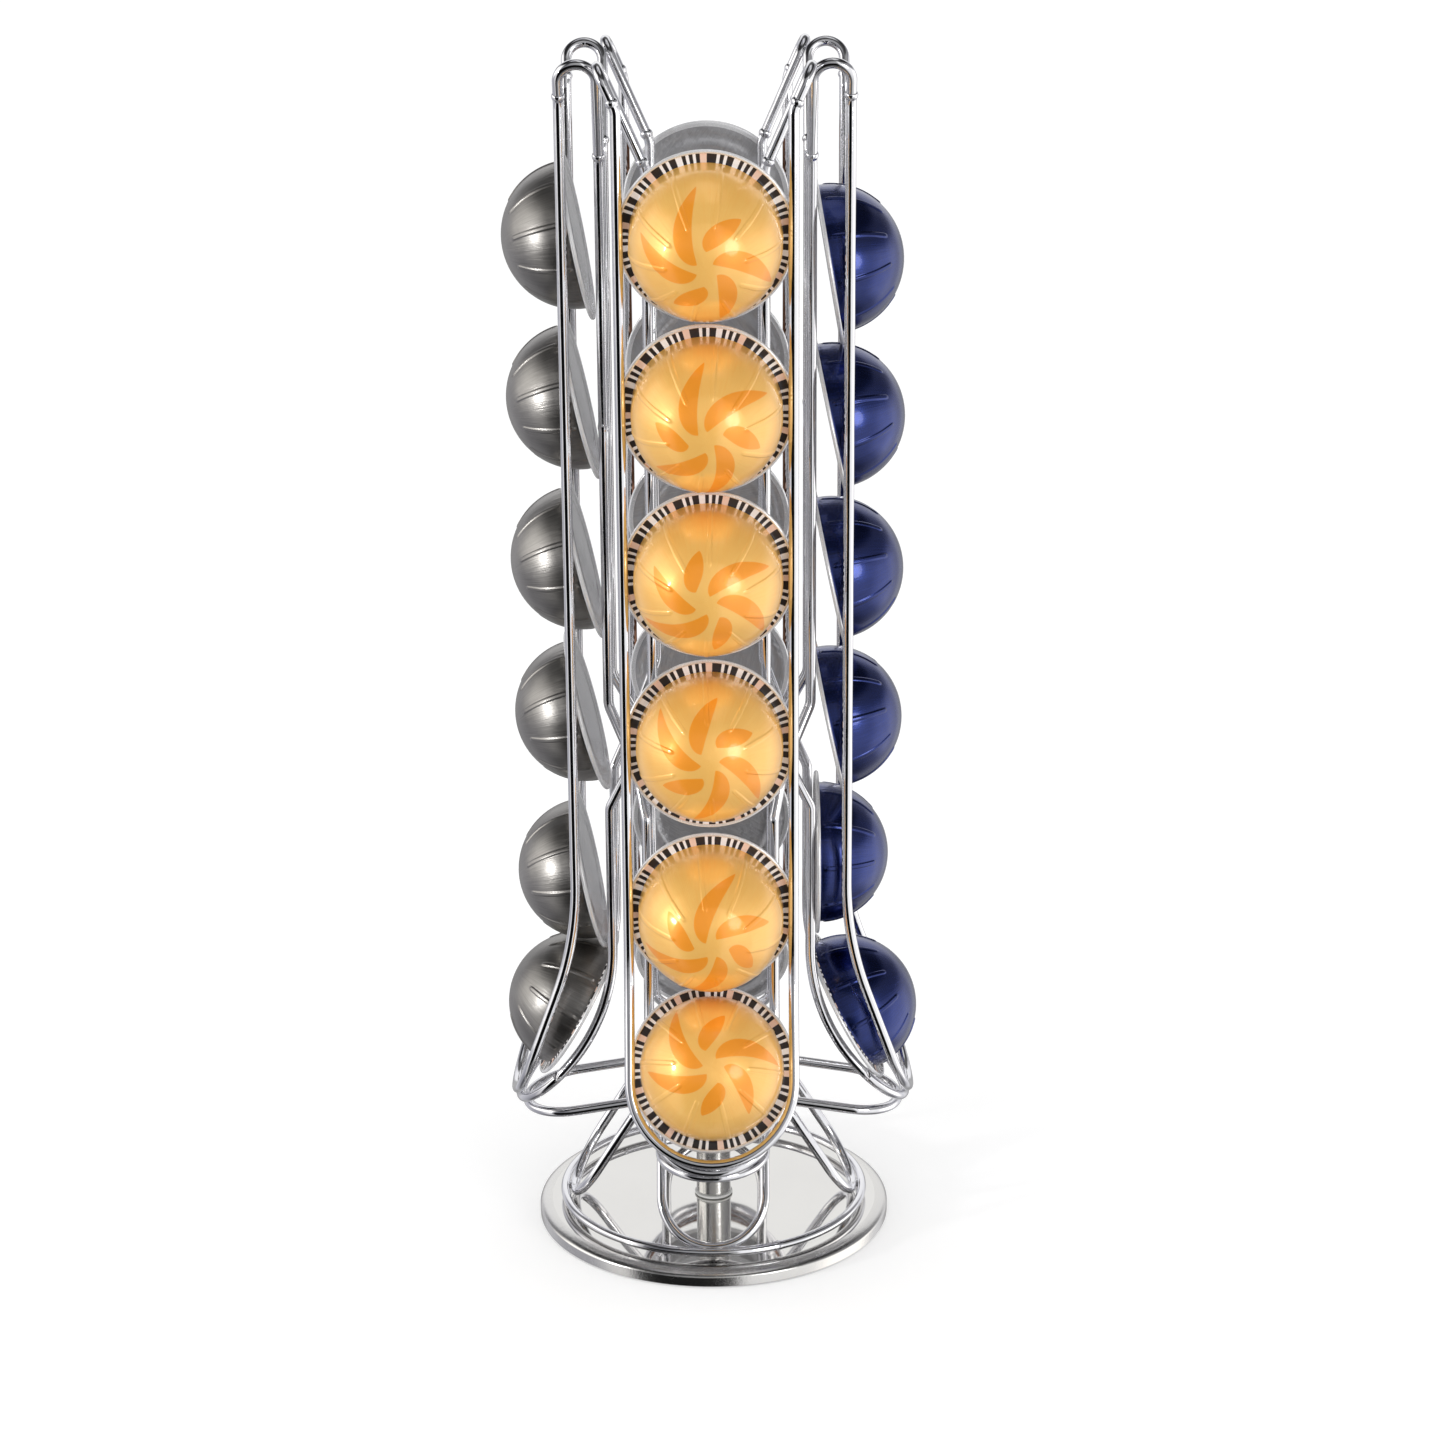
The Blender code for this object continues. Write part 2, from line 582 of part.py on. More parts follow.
def make_capsules(materials, parent):
    short = turned_mesh("short_capsule", capsule_profile(SHORT_CAPSULE_HEIGHT), CAPSULE_SEGMENTS)
    tall = turned_mesh("tall_capsule", capsule_profile(TALL_CAPSULE_HEIGHT), CAPSULE_SEGMENTS)
    loads = {
        "front": (tall, materials["gold_shell"]),
        "right": (short, materials["blue_shell"]),
        "back": (tall.copy(), materials["brown_shell"]),
        "left": (short.copy(), materials["grey_shell"]),
    }
    for index, channel in enumerate(CHANNEL_NAMES):
        mesh, material = loads[channel]
        turn = Matrix.Rotation(index * math.pi / 2, 4, "Z")
        for number, height in enumerate(capsule_heights(channel)):
            lean = CAPSULE_LEANS[channel][number]
            if number == 0:
                lowest_edge = OUTER_FOOT_RADIUS - LOWEST_EDGE_INSETS[channel]
                radius = lowest_edge - RIM_DIAMETER / 2 * math.sin(math.radians(lean))
            else:
                radius = seat_radius(SEAT_RAILS[channel], lean)
            capsule = add_object(f"{channel}_capsule_{number + 1}", mesh, material, parent)
            # The mesh stands on its lid, so it is tipped to point its dome out of the channel
            tip = Matrix.Rotation(math.radians(90 - lean), 4, "X")
            seat = Matrix.Translation((0, 0, -RIM_BEAD_HEIGHT / 2))
            capsule.matrix_local = turn @ Matrix.Translation(place(0, radius, height)) @ tip @ seat


def seat_radius(rails, lean):
    """Where a leaning flange rests: against the back of the outer rails or the front of the inner ones."""
    slope = math.tan(math.radians(abs(lean)))
    if rails == "outer":
        return OUTER_RAIL_RADIUS - RIM_SEAT - OUTER_CHORD * OUTER_SEAT_SHARE * slope
    return INNER_RAIL_RADIUS + RIM_SEAT + INNER_CHORD * INNER_SEAT_SHARE * slope


def main():
    for thing in list(bpy.data.objects):
        bpy.data.objects.remove(thing, do_unlink=True)
    materials = {
        "chrome": make_material("chrome_wire", (0.80, 0.81, 0.83), 0.08, 1.0),
        "steel": make_material("polished_steel", (0.72, 0.71, 0.69), 0.15, 1.0),
        "iron": make_material("ballast_steel", (0.35, 0.35, 0.36), 0.5, 1.0),
        "rubber": make_material("black_rubber", (0.03, 0.03, 0.03), 0.8, 0.0),
        "plastic": make_material("white_plastic", (0.85, 0.85, 0.84), 0.4, 0.0),
        "gold_shell": make_material("gold_shell", (0.89, 0.58, 0.20), 0.3, 0.9),
        "blue_shell": make_material("blue_shell", (0.04, 0.07, 0.26), 0.25, 0.9),
        "brown_shell": make_material("brown_shell", (0.24, 0.12, 0.07), 0.3, 0.9),
        "grey_shell": make_material("grey_shell", (0.24, 0.23, 0.22), 0.3, 0.9),
    }
    base = add_empty("base_centre")
    carousel = add_empty("carousel_axis")
    make_base(materials, base)
    make_hub(materials, carousel)
    make_frame(materials, carousel)
    make_capsules(materials, carousel)


main()
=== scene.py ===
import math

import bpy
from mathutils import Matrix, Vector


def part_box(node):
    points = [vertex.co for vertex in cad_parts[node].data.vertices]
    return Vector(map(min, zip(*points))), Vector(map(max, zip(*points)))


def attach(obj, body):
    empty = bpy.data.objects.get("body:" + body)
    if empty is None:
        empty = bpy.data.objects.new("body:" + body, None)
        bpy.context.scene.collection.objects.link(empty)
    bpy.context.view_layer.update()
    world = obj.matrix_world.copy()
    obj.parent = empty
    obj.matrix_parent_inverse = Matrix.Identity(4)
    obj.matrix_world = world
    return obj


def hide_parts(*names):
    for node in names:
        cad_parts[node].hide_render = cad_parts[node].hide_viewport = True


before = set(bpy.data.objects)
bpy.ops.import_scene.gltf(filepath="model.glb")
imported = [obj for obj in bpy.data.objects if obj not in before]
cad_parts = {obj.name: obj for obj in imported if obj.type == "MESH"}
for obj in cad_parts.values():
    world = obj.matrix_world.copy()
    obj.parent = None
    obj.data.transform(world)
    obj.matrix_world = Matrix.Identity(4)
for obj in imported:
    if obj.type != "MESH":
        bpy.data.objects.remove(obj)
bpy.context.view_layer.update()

# %% [markdown]
# # A turning wire dispenser for coffee capsules
# The real object is a small kitchen rack: bent steel wire, chrome plated, welded into an open tower that
# turns on a round mirror-polished foot. Four upright channels hold six domed capsules each. We dress the
# solids of the frame: every wire gets its round section and its welds, every capsule its rolled rim, its
# foil, its printed ring and its pressed ribs.

RAIL_WIRE = 0.0038
RING_WIRE = 0.0034
WELD_GAP = 0.0003
WIRE_CONTACT = RAIL_WIRE + WELD_GAP
CHANNELS = ("front", "right", "back", "left")


def turn_about(axis, degrees):
    return Matrix.Rotation(math.radians(degrees), 4, axis)


# %% [markdown]
# ## The camera
# The photograph was taken with a long lens from a little above the rack. A long lens stands far away,
# so upright wires stay almost parallel. The place below was found by matching corners of the rack with
# their pixels; the tiny roll is in the photograph too.

# %% Camera
SENSOR_WIDTH = 36.0
LENS_LENGTH = 79.45
CAMERA_PLACE = (0.0049, -1.1398, 0.5691)
CAMERA_ASIDE = 0.01
CAMERA_PITCH = 72.09
CAMERA_ROLL = -0.38

camera_data = bpy.data.cameras.new("photo_camera")
camera_data.sensor_width = SENSOR_WIDTH
camera_data.lens = LENS_LENGTH
camera = bpy.data.objects.new("photo_camera", camera_data)
bpy.context.scene.collection.objects.link(camera)
camera.matrix_world = (Matrix.Translation(CAMERA_PLACE) @ turn_about("Z", CAMERA_ASIDE)
                       @ turn_about("X", CAMERA_PITCH) @ turn_about("Z", CAMERA_ROLL))
bpy.context.scene.camera = camera
print("camera stands", round(camera.matrix_world.translation.length, 3), "m from the foot of the rack")

# %% [markdown]
# ## Helpers for modelling by hand
# An operator works on everything that is selected, and loading the frame leaves its nodes selected.
# So each new piece starts from an empty selection. `finish_piece` names the piece, says which body it
# rides on, and which solids it stands for.

# %% Selection and finishing helpers
def start_clean():
    if bpy.context.object and bpy.context.object.mode != "OBJECT":
        bpy.ops.object.mode_set(mode="OBJECT")
    bpy.ops.object.select_all(action="DESELECT")


def edit_all():
    """Open the active piece's mesh with all of it selected."""
    bpy.ops.object.mode_set(mode="EDIT")
    bpy.ops.mesh.select_all(action="SELECT")


def close_smooth(angle):
    """Close the mesh and shade it smooth, with edges sharper than the angle left sharp."""
    bpy.ops.object.mode_set(mode="OBJECT")
    bpy.ops.object.shade_smooth_by_angle(angle=math.radians(angle))


def dress(thing, *materials):
    thing.data.materials.clear()
    for material in materials:
        thing.data.materials.append(material)


def finish_piece(thing, name, body, slot, *nodes):
    thing.name = name
    thing.data.name = name
    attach(thing, body)
    if nodes:
        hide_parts(*nodes)


def copied(source, name, matrix):
    """A copy with its own mesh, its place worked into the mesh."""
    twin = source.copy()
    twin.data = source.data.copy()
    twin.data.transform(matrix)
    bpy.context.scene.collection.objects.link(twin)
    twin.name = name
    return twin


def remove(thing):
    bpy.data.objects.remove(thing, do_unlink=True)


def join(pieces):
    """Join the pieces into the first of them."""
    start_clean()
    for piece in pieces:
        piece.select_set(True)
    bpy.context.view_layer.objects.active = pieces[0]
    bpy.ops.object.join()
    return pieces[0]


def quarter_turn(index):
    return turn_about("Z", 90 * index)


# %% Shader helpers
def feed(tree, node, inputs):
    """Give each socket a number or a colour, or link another node's output to it."""
    for key, value in inputs.items():
        socket = node.inputs[key]
        if isinstance(value, bpy.types.NodeSocket):
            tree.links.new(value, socket)
        elif isinstance(value, tuple) and len(value) < len(socket.default_value):
            socket.default_value = (*value, 1.0)
        else:
            socket.default_value = value


def add_node(tree, kind, inputs=None, **settings):
    node = tree.nodes.new("ShaderNode" + kind)
    for key, value in settings.items():
        setattr(node, key, value)
    feed(tree, node, inputs or {})
    return node


def new_material(name, metallic, roughness):
    material = bpy.data.materials.new(name)
    material.use_nodes = True
    shader = material.node_tree.nodes["Principled BSDF"]
    feed(material.node_tree, shader, {"Metallic": metallic, "Roughness": roughness})
    return material, material.node_tree, shader


def math_node(tree, operation, *values):
    return add_node(tree, "Math", dict(enumerate(values)), operation=operation).outputs[0]


def product(tree, first, *others):
    for other in others:
        first = math_node(tree, "MULTIPLY", first, other)
    return first


def ranged(tree, share, low, high):
    """From low to high as the share goes from 0 to 1."""
    return math_node(tree, "MULTIPLY_ADD", share, high - low, low)


def smooth_step(tree, value, low, high):
    node = add_node(tree, "MapRange", {"Value": value, "From Min": low, "From Max": high},
                    interpolation_type="SMOOTHSTEP")
    return node.outputs["Result"]


def ramp_node(tree, value, stops, interpolation="LINEAR"):
    """Stops are (place from 0 to 1, colour)."""
    node = add_node(tree, "ValToRGB", {"Fac": value})
    node.color_ramp.interpolation = interpolation
    elements = node.color_ramp.elements
    while len(elements) < len(stops):
        elements.new(0.5)
    for element, (position, colour) in zip(elements, stops):
        element.position = position
        element.color = (*colour, 1.0)
    return node.outputs["Color"]


def mix_colour(tree, factor, first, second):
    return add_node(tree, "Mix", {0: factor, 6: first, 7: second}, data_type="RGBA").outputs[2]


def noise(tree, where, scale, detail=2.0, roughness=0.5, distortion=0.0):
    inputs = {"Vector": where, "Scale": scale, "Detail": detail, "Roughness": roughness}
    return add_node(tree, "TexNoise", inputs | {"Distortion": distortion}).outputs["Fac"]


def bump_node(tree, height, strength, distance):
    inputs = {"Height": height, "Strength": strength, "Distance": distance}
    return add_node(tree, "Bump", inputs).outputs["Normal"]


def seen_directly(tree):
    """1 for what the camera sees, straight or through something clear, and 0 for light that bounces."""
    path = add_node(tree, "LightPath").outputs
    return math_node(tree, "MAXIMUM", path["Is Camera Ray"], path["Is Transmission Ray"])


print("helpers are ready")

# %% [markdown]
# ## Chrome
# Chrome has no colour pattern of its own: what we see is the room. The plating still isn't perfect. It
# waves a little where the wire was drawn and bent, and handling leaves faint clouds and hairline
# scratches that spread the highlight. Several finishes share those marks, so they are one node group.

# %% Handling marks, one group that several finishes share
SCRATCH_WIDTH = 0.006
SCRATCH_SCALE = 900.0


def new_group(name, inputs, outputs):
    group = bpy.data.node_groups.new(name, "ShaderNodeTree")
    for side, labels in (("INPUT", inputs), ("OUTPUT", outputs)):
        for label in labels:
            group.interface.new_socket(label, in_out=side, socket_type="NodeSocketFloat")
    return group


def make_handling_marks():
    group = new_group("handling_marks", ("Cloud Scale", "Scratch Scale"), ("Clouds", "Scratches"))
    scales = group.nodes.new("NodeGroupInput").outputs
    where = add_node(group, "TexCoord").outputs["Object"]
    threads = noise(group, where, scales["Scratch Scale"], distortion=2.5)
    from_middle = math_node(group, "ABSOLUTE", math_node(group, "SUBTRACT", threads, 0.5))
    feed(group, group.nodes.new("NodeGroupOutput"), {
        "Clouds": noise(group, where, scales["Cloud Scale"], detail=4.0, roughness=0.6),
        "Scratches": math_node(group, "LESS_THAN", from_middle, SCRATCH_WIDTH)})
    return group


handling_marks = make_handling_marks()


def add_marks(tree, cloud_scale, scratch_scale=SCRATCH_SCALE):
    scales = {"Cloud Scale": cloud_scale, "Scratch Scale": scratch_scale}
    node = add_node(tree, "Group", scales, node_tree=handling_marks)
    return node.outputs["Clouds"], node.outputs["Scratches"]


print("handling marks have", len(handling_marks.nodes), "nodes")


# %% A plain metal or plastic with handling marks, and the chrome made with it
def worked_finish(name, metallic, colours, roughness_range, wave_scale, wave_depth, cloud_scale=60.0):
    """Colour and gloss drift with the clouds, over a shallow wave in the surface."""
    material, tree, shader = new_material(name, metallic, roughness_range[0])
    clouds, scratches = add_marks(tree, cloud_scale)
    gloss = ranged(tree, clouds, *roughness_range)
    wave = noise(tree, add_node(tree, "TexCoord").outputs["Object"], wave_scale)
    feed(tree, shader, {"Base Color": mix_colour(tree, clouds, *colours),
                        "Roughness": math_node(tree, "MULTIPLY_ADD", scratches, 0.06, gloss),
                        "Normal": bump_node(tree, wave, 0.3, wave_depth)})
    return material


chrome = worked_finish("chrome_plating", 1.0, ((0.80, 0.80, 0.83), (0.90, 0.90, 0.92)), (0.03, 0.08),
                       220.0, 0.0002)
weld_chrome = worked_finish("plated_weld", 1.0, ((0.60, 0.60, 0.62), (0.82, 0.82, 0.84)), (0.08, 0.22),
                            1500.0, 0.0007)
print("chrome is ready:", chrome.name, weld_chrome.name)

# %% [markdown]
# ## Bent wire
# A bench bender leaves straight runs joined by round bends of one radius. So a wire is described by its
# corners, each with a bend radius, and `bent_path` rounds them. The points run through a curve whose
# round bevel is the wire, and the curve is then made a mesh. Where a butt weld closes a joint, the
# upset metal stands out as a small bead: there the curve's own radius swells.

# %% Path helpers
BEND_STEP = 6
U_BEND_STEP = 5


def place(side, radius, height):
    """A point of the front channel: side along X, radius out towards -Y."""
    return Vector((side, -radius, height))


def corner(side, radius, height, bend=0.0, step=BEND_STEP):
    """A corner of a wire: its point, its bend radius and the degrees between points of the bend."""
    return place(side, radius, height), bend, step


def add_bend(points, before, here, after):
    """Replace one corner of a wire by a round bend."""
    spot, radius, step = here
    incoming = (spot - before[0]).normalized()
    outgoing = (after[0] - spot).normalized()
    turn = incoming.angle(outgoing)
    start = spot - incoming * radius * math.tan(turn / 2)
    to_centre = (outgoing - incoming * incoming.dot(outgoing)).normalized()
    centre = start + to_centre * radius
    count = max(2, round(math.degrees(turn) / step))
    for index in range(count + 1):
        angle = turn * index / count
        points.append(centre + (incoming * math.sin(angle) - to_centre * math.cos(angle)) * radius)


def bent_path(corners):
    points = [corners[0][0]]
    for before, here, after in zip(corners, corners[1:], corners[2:]):
        add_bend(points, before, here, after)
    points.append(corners[-1][0])
    return points


def closed_path(corners):
    points = []
    for index, here in enumerate(corners):
        add_bend(points, corners[index - 1], here, corners[(index + 1) % len(corners)])
    return points


def mirrored(half):
    return [(Vector((-point.x, point.y, point.z)), bend, step) for point, bend, step in reversed(half)]


print("a bend has a point every", BEND_STEP, "degrees, a U every", U_BEND_STEP)

# %% Weld beads along a wire
# Each point is its distance from the weld, along the wire, and its share of the swell
BEAD_PROFILE = ((-0.0016, 0.0), (-0.0011, 0.33), (-0.0006, 0.8), (0.0, 1.0), (0.0006, 0.8), (0.0011, 0.33),
                (0.0016, 0.0))


def with_beads(points, beads):
    """Give every point a radius of 1, and swell the wire round each bead: (arc length, swell)."""
    lengths = [0.0]
    for before, after in zip(points, points[1:]):
        lengths.append(lengths[-1] + (after - before).length)
    stations = {round(length, 6): (point, 1.0) for length, point in zip(lengths, points)}
    for spot, swell in beads:
        middle = spot if spot >= 0 else lengths[-1] + spot
        for offset, share in BEAD_PROFILE:
            reach = min(max(middle + offset, 0.0), lengths[-1])
            index = max(i for i, length in enumerate(lengths) if length <= reach + 1e-9)
            index = min(index, len(points) - 2)
            part = (reach - lengths[index]) / (lengths[index + 1] - lengths[index])
            stations[round(reach, 6)] = (points[index].lerp(points[index + 1], part), 1.0 + swell * share)
    return [stations[key] for key in sorted(stations)]


print("a bead is", round(BEAD_PROFILE[-1][0] - BEAD_PROFILE[0][0], 4), "m long")

# %% From path to wire
SHORTEST_STEP_SHARE = 0.02
WIRE_BEVEL_STEPS = 6
WIRE_SHARP_ANGLE = 50
SAME_SPOT = 1e-6


def spread_out(points, shortest, cyclic):
    """Drop points that fall on the one before them."""
    kept = []
    for point in points:
        if not kept or (point - kept[-1]).length > shortest:
            kept.append(point)
    if cyclic and (kept[0] - kept[-1]).length < shortest:
        kept.pop()
    return kept


def make_wire(name, points, diameter, cyclic=False, beads=()):
    """Draw the wire as a bevelled curve, then turn it into a mesh with a smooth surface."""
    stations = with_beads(spread_out(points, diameter * SHORTEST_STEP_SHARE, cyclic), beads)
    start_clean()
    bpy.ops.curve.primitive_nurbs_path_add(location=(0, 0, 0))
    curve = bpy.context.object.data
    curve.splines.clear()
    curve.dimensions = "3D"
    spline = curve.splines.new("POLY")
    spline.points.add(len(stations) - 1)
    for slot, (point, swell) in zip(spline.points, stations):
        slot.co = (*point, 1.0)
        slot.radius = swell
    spline.use_cyclic_u = cyclic
    curve.bevel_depth = diameter / 2
    curve.bevel_resolution = WIRE_BEVEL_STEPS
    curve.use_fill_caps = not cyclic
    bpy.ops.object.convert(target="MESH")
    thing = bpy.context.object
    thing.name = name
    edit_all()
    bpy.ops.mesh.remove_doubles(threshold=SAME_SPOT)
    bpy.ops.mesh.normals_make_consistent(inside=False)
    close_smooth(WIRE_SHARP_ANGLE)
    dress(thing, chrome)
    return thing


print("a wire has", 2 * WIRE_BEVEL_STEPS + 4, "sides")

# %% [markdown]
# ## The load decides the sizes
# The rack is bent to fit its capsules. The shell slides between the outer rails, the rims rest on the
# rails, and the mouth stands above the highest capsule. So the capsules' places come first here. No
# capsule sits quite like its neighbour: each leans by its own few degrees.

# %% How the capsules lie in the channels
SHELL_RADIUS = 0.0265
RIM_RADIUS = 0.0310
BEAD_RADIUS = 0.00075
# Degrees, from the lowest capsule up: plus points the dome up
LEANS = {"front": (26.0, -3.0, 6.0, -3.5, -6.0, -9.0), "right": (28.0, 0.0, 12.0, 12.0, 12.0, 9.5),
         "back": (26.0, 11.0, 11.0, 11.0, 11.0, 11.0), "left": (30.0, -11.5, -14.5, -13.5, -12.5, -10.5)}
# How much less than a rim's width it is from one capsule to the next
NESTING = {"front": (0.0023, -0.0024, -0.0013, 0.0024, 0.0018),
           "right": (-0.0009, 0.0079, 0.0044, 0.0047, 0.0046),
           "back": (-0.0012, 0.0017, 0.0015, 0.0012, 0.0015),
           "left": (0.0071, -0.0014, 0.0029, 0.0015, 0.0032)}
# The lowest rim's edge: how far above the outer foot, and how far in from it
LOWEST_RISE = {"front": 0.0013, "right": 0.0040, "back": 0.0015, "left": 0.0066}
LOWEST_INSET = {"front": 0.0072, "right": 0.0098, "back": 0.0074, "left": 0.0092}
OUTER_FOOT_HEIGHT = 0.0546


def capsule_heights(channel):
    lean = math.radians(LEANS[channel][0])
    heights = [OUTER_FOOT_HEIGHT + LOWEST_RISE[channel] + RIM_RADIUS * math.cos(lean)]
    for nesting in NESTING[channel]:
        heights.append(heights[-1] + 2 * RIM_RADIUS - nesting)
    return heights


highest_capsule = max(capsule_heights(channel)[-1] for channel in CHANNELS)
print("the highest capsule's rim is at", round(highest_capsule, 4))

# %% [markdown]
# ## The rails of one channel
# Each outer rail is one long wire: down one side, out under the lowest capsule in a U, and up the other
# side. Each inner rail stands behind the lids and is pinched out at mid height, where it is spot welded
# to its neighbour. Both end in a short bent stub that the hairpins are butt welded to.

# %% Sizes of the channel's mouth
OUTER_HALF = 0.0302
INNER_HALF_ABOVE = 0.0205
INNER_HALF_BELOW = 0.0234
MOUTH_FLARE = math.radians(24)
MOUTH_SIN = math.sin(MOUTH_FLARE)
MOUTH_COS = math.cos(MOUTH_FLARE)
MOUTH_ABOVE_CAPSULES = 0.0435
HAIRPIN_LEG = 0.0088
ARCH_RADIUS = 0.0066
ARCH_REACH = ARCH_RADIUS * math.sqrt(1 + MOUTH_SIN ** 2)
ARCH_SIDE = OUTER_HALF + HAIRPIN_LEG * MOUTH_SIN
ARCH_MIDDLE = ARCH_SIDE + ARCH_REACH + WIRE_CONTACT / math.sqrt(2)
OUTER_RADIUS = ARCH_MIDDLE + ARCH_RADIUS
INNER_RADIUS = ARCH_MIDDLE - ARCH_RADIUS
OUTER_BEND_HEIGHT = highest_capsule + MOUTH_ABOVE_CAPSULES
INNER_BEND_HEIGHT = OUTER_BEND_HEIGHT - (OUTER_HALF - INNER_HALF_ABOVE) * MOUTH_COS / MOUTH_SIN
BEND_RADIUS = 0.007
STUB = 0.003
# The stub runs on a little past the weld, inside the hairpin's end
STUB_OVERLAP = 0.0012
STUB_REACH = STUB + STUB_OVERLAP
print("outer rails stand at", round(OUTER_RADIUS, 5), "and bend at", round(OUTER_BEND_HEIGHT, 5))

# %% Sizes of the pinch and the foot
PINCH_HEIGHT = 0.195
PINCH_HALF_LENGTH = 0.0195
PINCH_WELD_HALF = 0.0035
PINCH_MIDDLE = 0.04 / math.sqrt(2)
PINCH_OFFSET = WIRE_CONTACT / math.sqrt(8)
PINCH_SIDE = PINCH_MIDDLE - PINCH_OFFSET
PINCH_RADIUS = PINCH_MIDDLE + PINCH_OFFSET
FOOT_REACH = 0.0257
OUTER_FLARE = math.radians(20)
OUTER_FLARE_BEND = 0.130
OUTER_FLARE_STEP = 1
INNER_FLARE = math.radians(45)
INNER_FLARE_BEND = 0.076
INNER_FLARE_STEP = 2
INNER_FOOT_LEAN = math.radians(21)
OUTER_FOOT_RADIUS = OUTER_RADIUS + FOOT_REACH
INNER_FOOT_RADIUS = OUTER_FOOT_RADIUS - WIRE_CONTACT * math.sin(INNER_FOOT_LEAN)
INNER_FOOT_HEIGHT = OUTER_FOOT_HEIGHT - WIRE_CONTACT * math.cos(INNER_FOOT_LEAN)
print("the inner foot hangs at", round(INNER_FOOT_HEIGHT, 5))


# %% Paths of the rails and hairpins
def mouth_end(half, radius, bend_height):
    """A rail's end above its top bend, and that bend."""
    return [corner(half + STUB_REACH * MOUTH_SIN, radius, bend_height + STUB_REACH * MOUTH_COS),
            corner(half, radius, bend_height, BEND_RADIUS)]


def outer_rail_path():
    flare_height = OUTER_FOOT_HEIGHT + FOOT_REACH / math.tan(OUTER_FLARE)
    half = mouth_end(OUTER_HALF, OUTER_RADIUS, OUTER_BEND_HEIGHT) + [
        corner(OUTER_HALF, OUTER_RADIUS, flare_height, OUTER_FLARE_BEND, OUTER_FLARE_STEP),
        corner(OUTER_HALF, OUTER_FOOT_RADIUS, OUTER_FOOT_HEIGHT, OUTER_HALF, U_BEND_STEP),
    ]
    return bent_path(half + mirrored(half))


def inner_rail_path():
    flare_height = INNER_FOOT_HEIGHT + (INNER_FOOT_RADIUS - INNER_RADIUS) / math.tan(INNER_FLARE)
    half = mouth_end(INNER_HALF_ABOVE, INNER_RADIUS, INNER_BEND_HEIGHT) + [
        corner(INNER_HALF_ABOVE, INNER_RADIUS, PINCH_HEIGHT + PINCH_HALF_LENGTH, BEND_RADIUS),
        corner(PINCH_SIDE, PINCH_RADIUS, PINCH_HEIGHT + PINCH_WELD_HALF, BEND_RADIUS),
        corner(PINCH_SIDE, PINCH_RADIUS, PINCH_HEIGHT - PINCH_WELD_HALF, BEND_RADIUS),
        corner(INNER_HALF_BELOW, INNER_RADIUS, PINCH_HEIGHT - PINCH_HALF_LENGTH, BEND_RADIUS),
        corner(INNER_HALF_BELOW, INNER_RADIUS, flare_height, INNER_FLARE_BEND, INNER_FLARE_STEP),
        corner(INNER_HALF_BELOW, INNER_FOOT_RADIUS, INNER_FOOT_HEIGHT, INNER_HALF_BELOW, U_BEND_STEP),
    ]
    return bent_path(half + mirrored(half))


def hairpin_path(sign):
    """The arch over a channel's corner. Its plane leans out by the mouth's flare."""
    def on_plane(from_outer_bend, radius, bend=0.0):
        side = OUTER_HALF + from_outer_bend * MOUTH_SIN
        return corner(sign * side, radius, OUTER_BEND_HEIGHT + from_outer_bend * MOUTH_COS, bend)

    arch_top = HAIRPIN_LEG + ARCH_RADIUS
    inner_bend = (INNER_HALF_ABOVE - OUTER_HALF) / MOUTH_SIN
    return bent_path([on_plane(STUB, OUTER_RADIUS), on_plane(arch_top, OUTER_RADIUS, ARCH_RADIUS),
                      on_plane(arch_top, INNER_RADIUS, ARCH_RADIUS),
                      on_plane(inner_bend + STUB, INNER_RADIUS)])


# %% Bend the rails and hairpins once, and copy them round the tower
# Butt welds: the distance along the wire, minus from its far end, and how much the wire swells
MOUTH_BEADS = ((STUB_OVERLAP, 0.26), (-STUB_OVERLAP, 0.26))
INNER_RAIL_BEAD = (0.098, 0.11)
LOOP_BEAD = (0.058, 0.16)
RING_BEAD = (0.300, 0.14)


def share_out(pieces):
    """Copy each front piece to the four channels and delete the pattern."""
    for piece_name, pattern in pieces.items():
        for index, channel in enumerate(CHANNELS):
            node = f"{channel}_{piece_name}"
            wire = copied(pattern, node, quarter_turn(index))
            finish_piece(wire, node + "_wire", "carousel", "chrome_wire", node)
        remove(pattern)


inner_beads = (*MOUTH_BEADS, INNER_RAIL_BEAD)
share_out({
    "outer_rail": make_wire("outer_rail", outer_rail_path(), RAIL_WIRE, beads=MOUTH_BEADS),
    "inner_rail": make_wire("inner_rail", inner_rail_path(), RAIL_WIRE, beads=inner_beads),
    "right_hairpin": make_wire("right_hairpin", hairpin_path(1), RAIL_WIRE),
    "left_hairpin": make_wire("left_hairpin", hairpin_path(-1), RAIL_WIRE),
})
print("rails and hairpins bent for", len(CHANNELS), "channels")

# %% [markdown]
# ## The crossed loops, the feet and the ring
# Two racetrack loops cross under the hub, one a wire higher than the other. A U-shaped foot hangs from
# each end and stands on the ring just above the mirror disc. Each loop is closed by one butt weld.

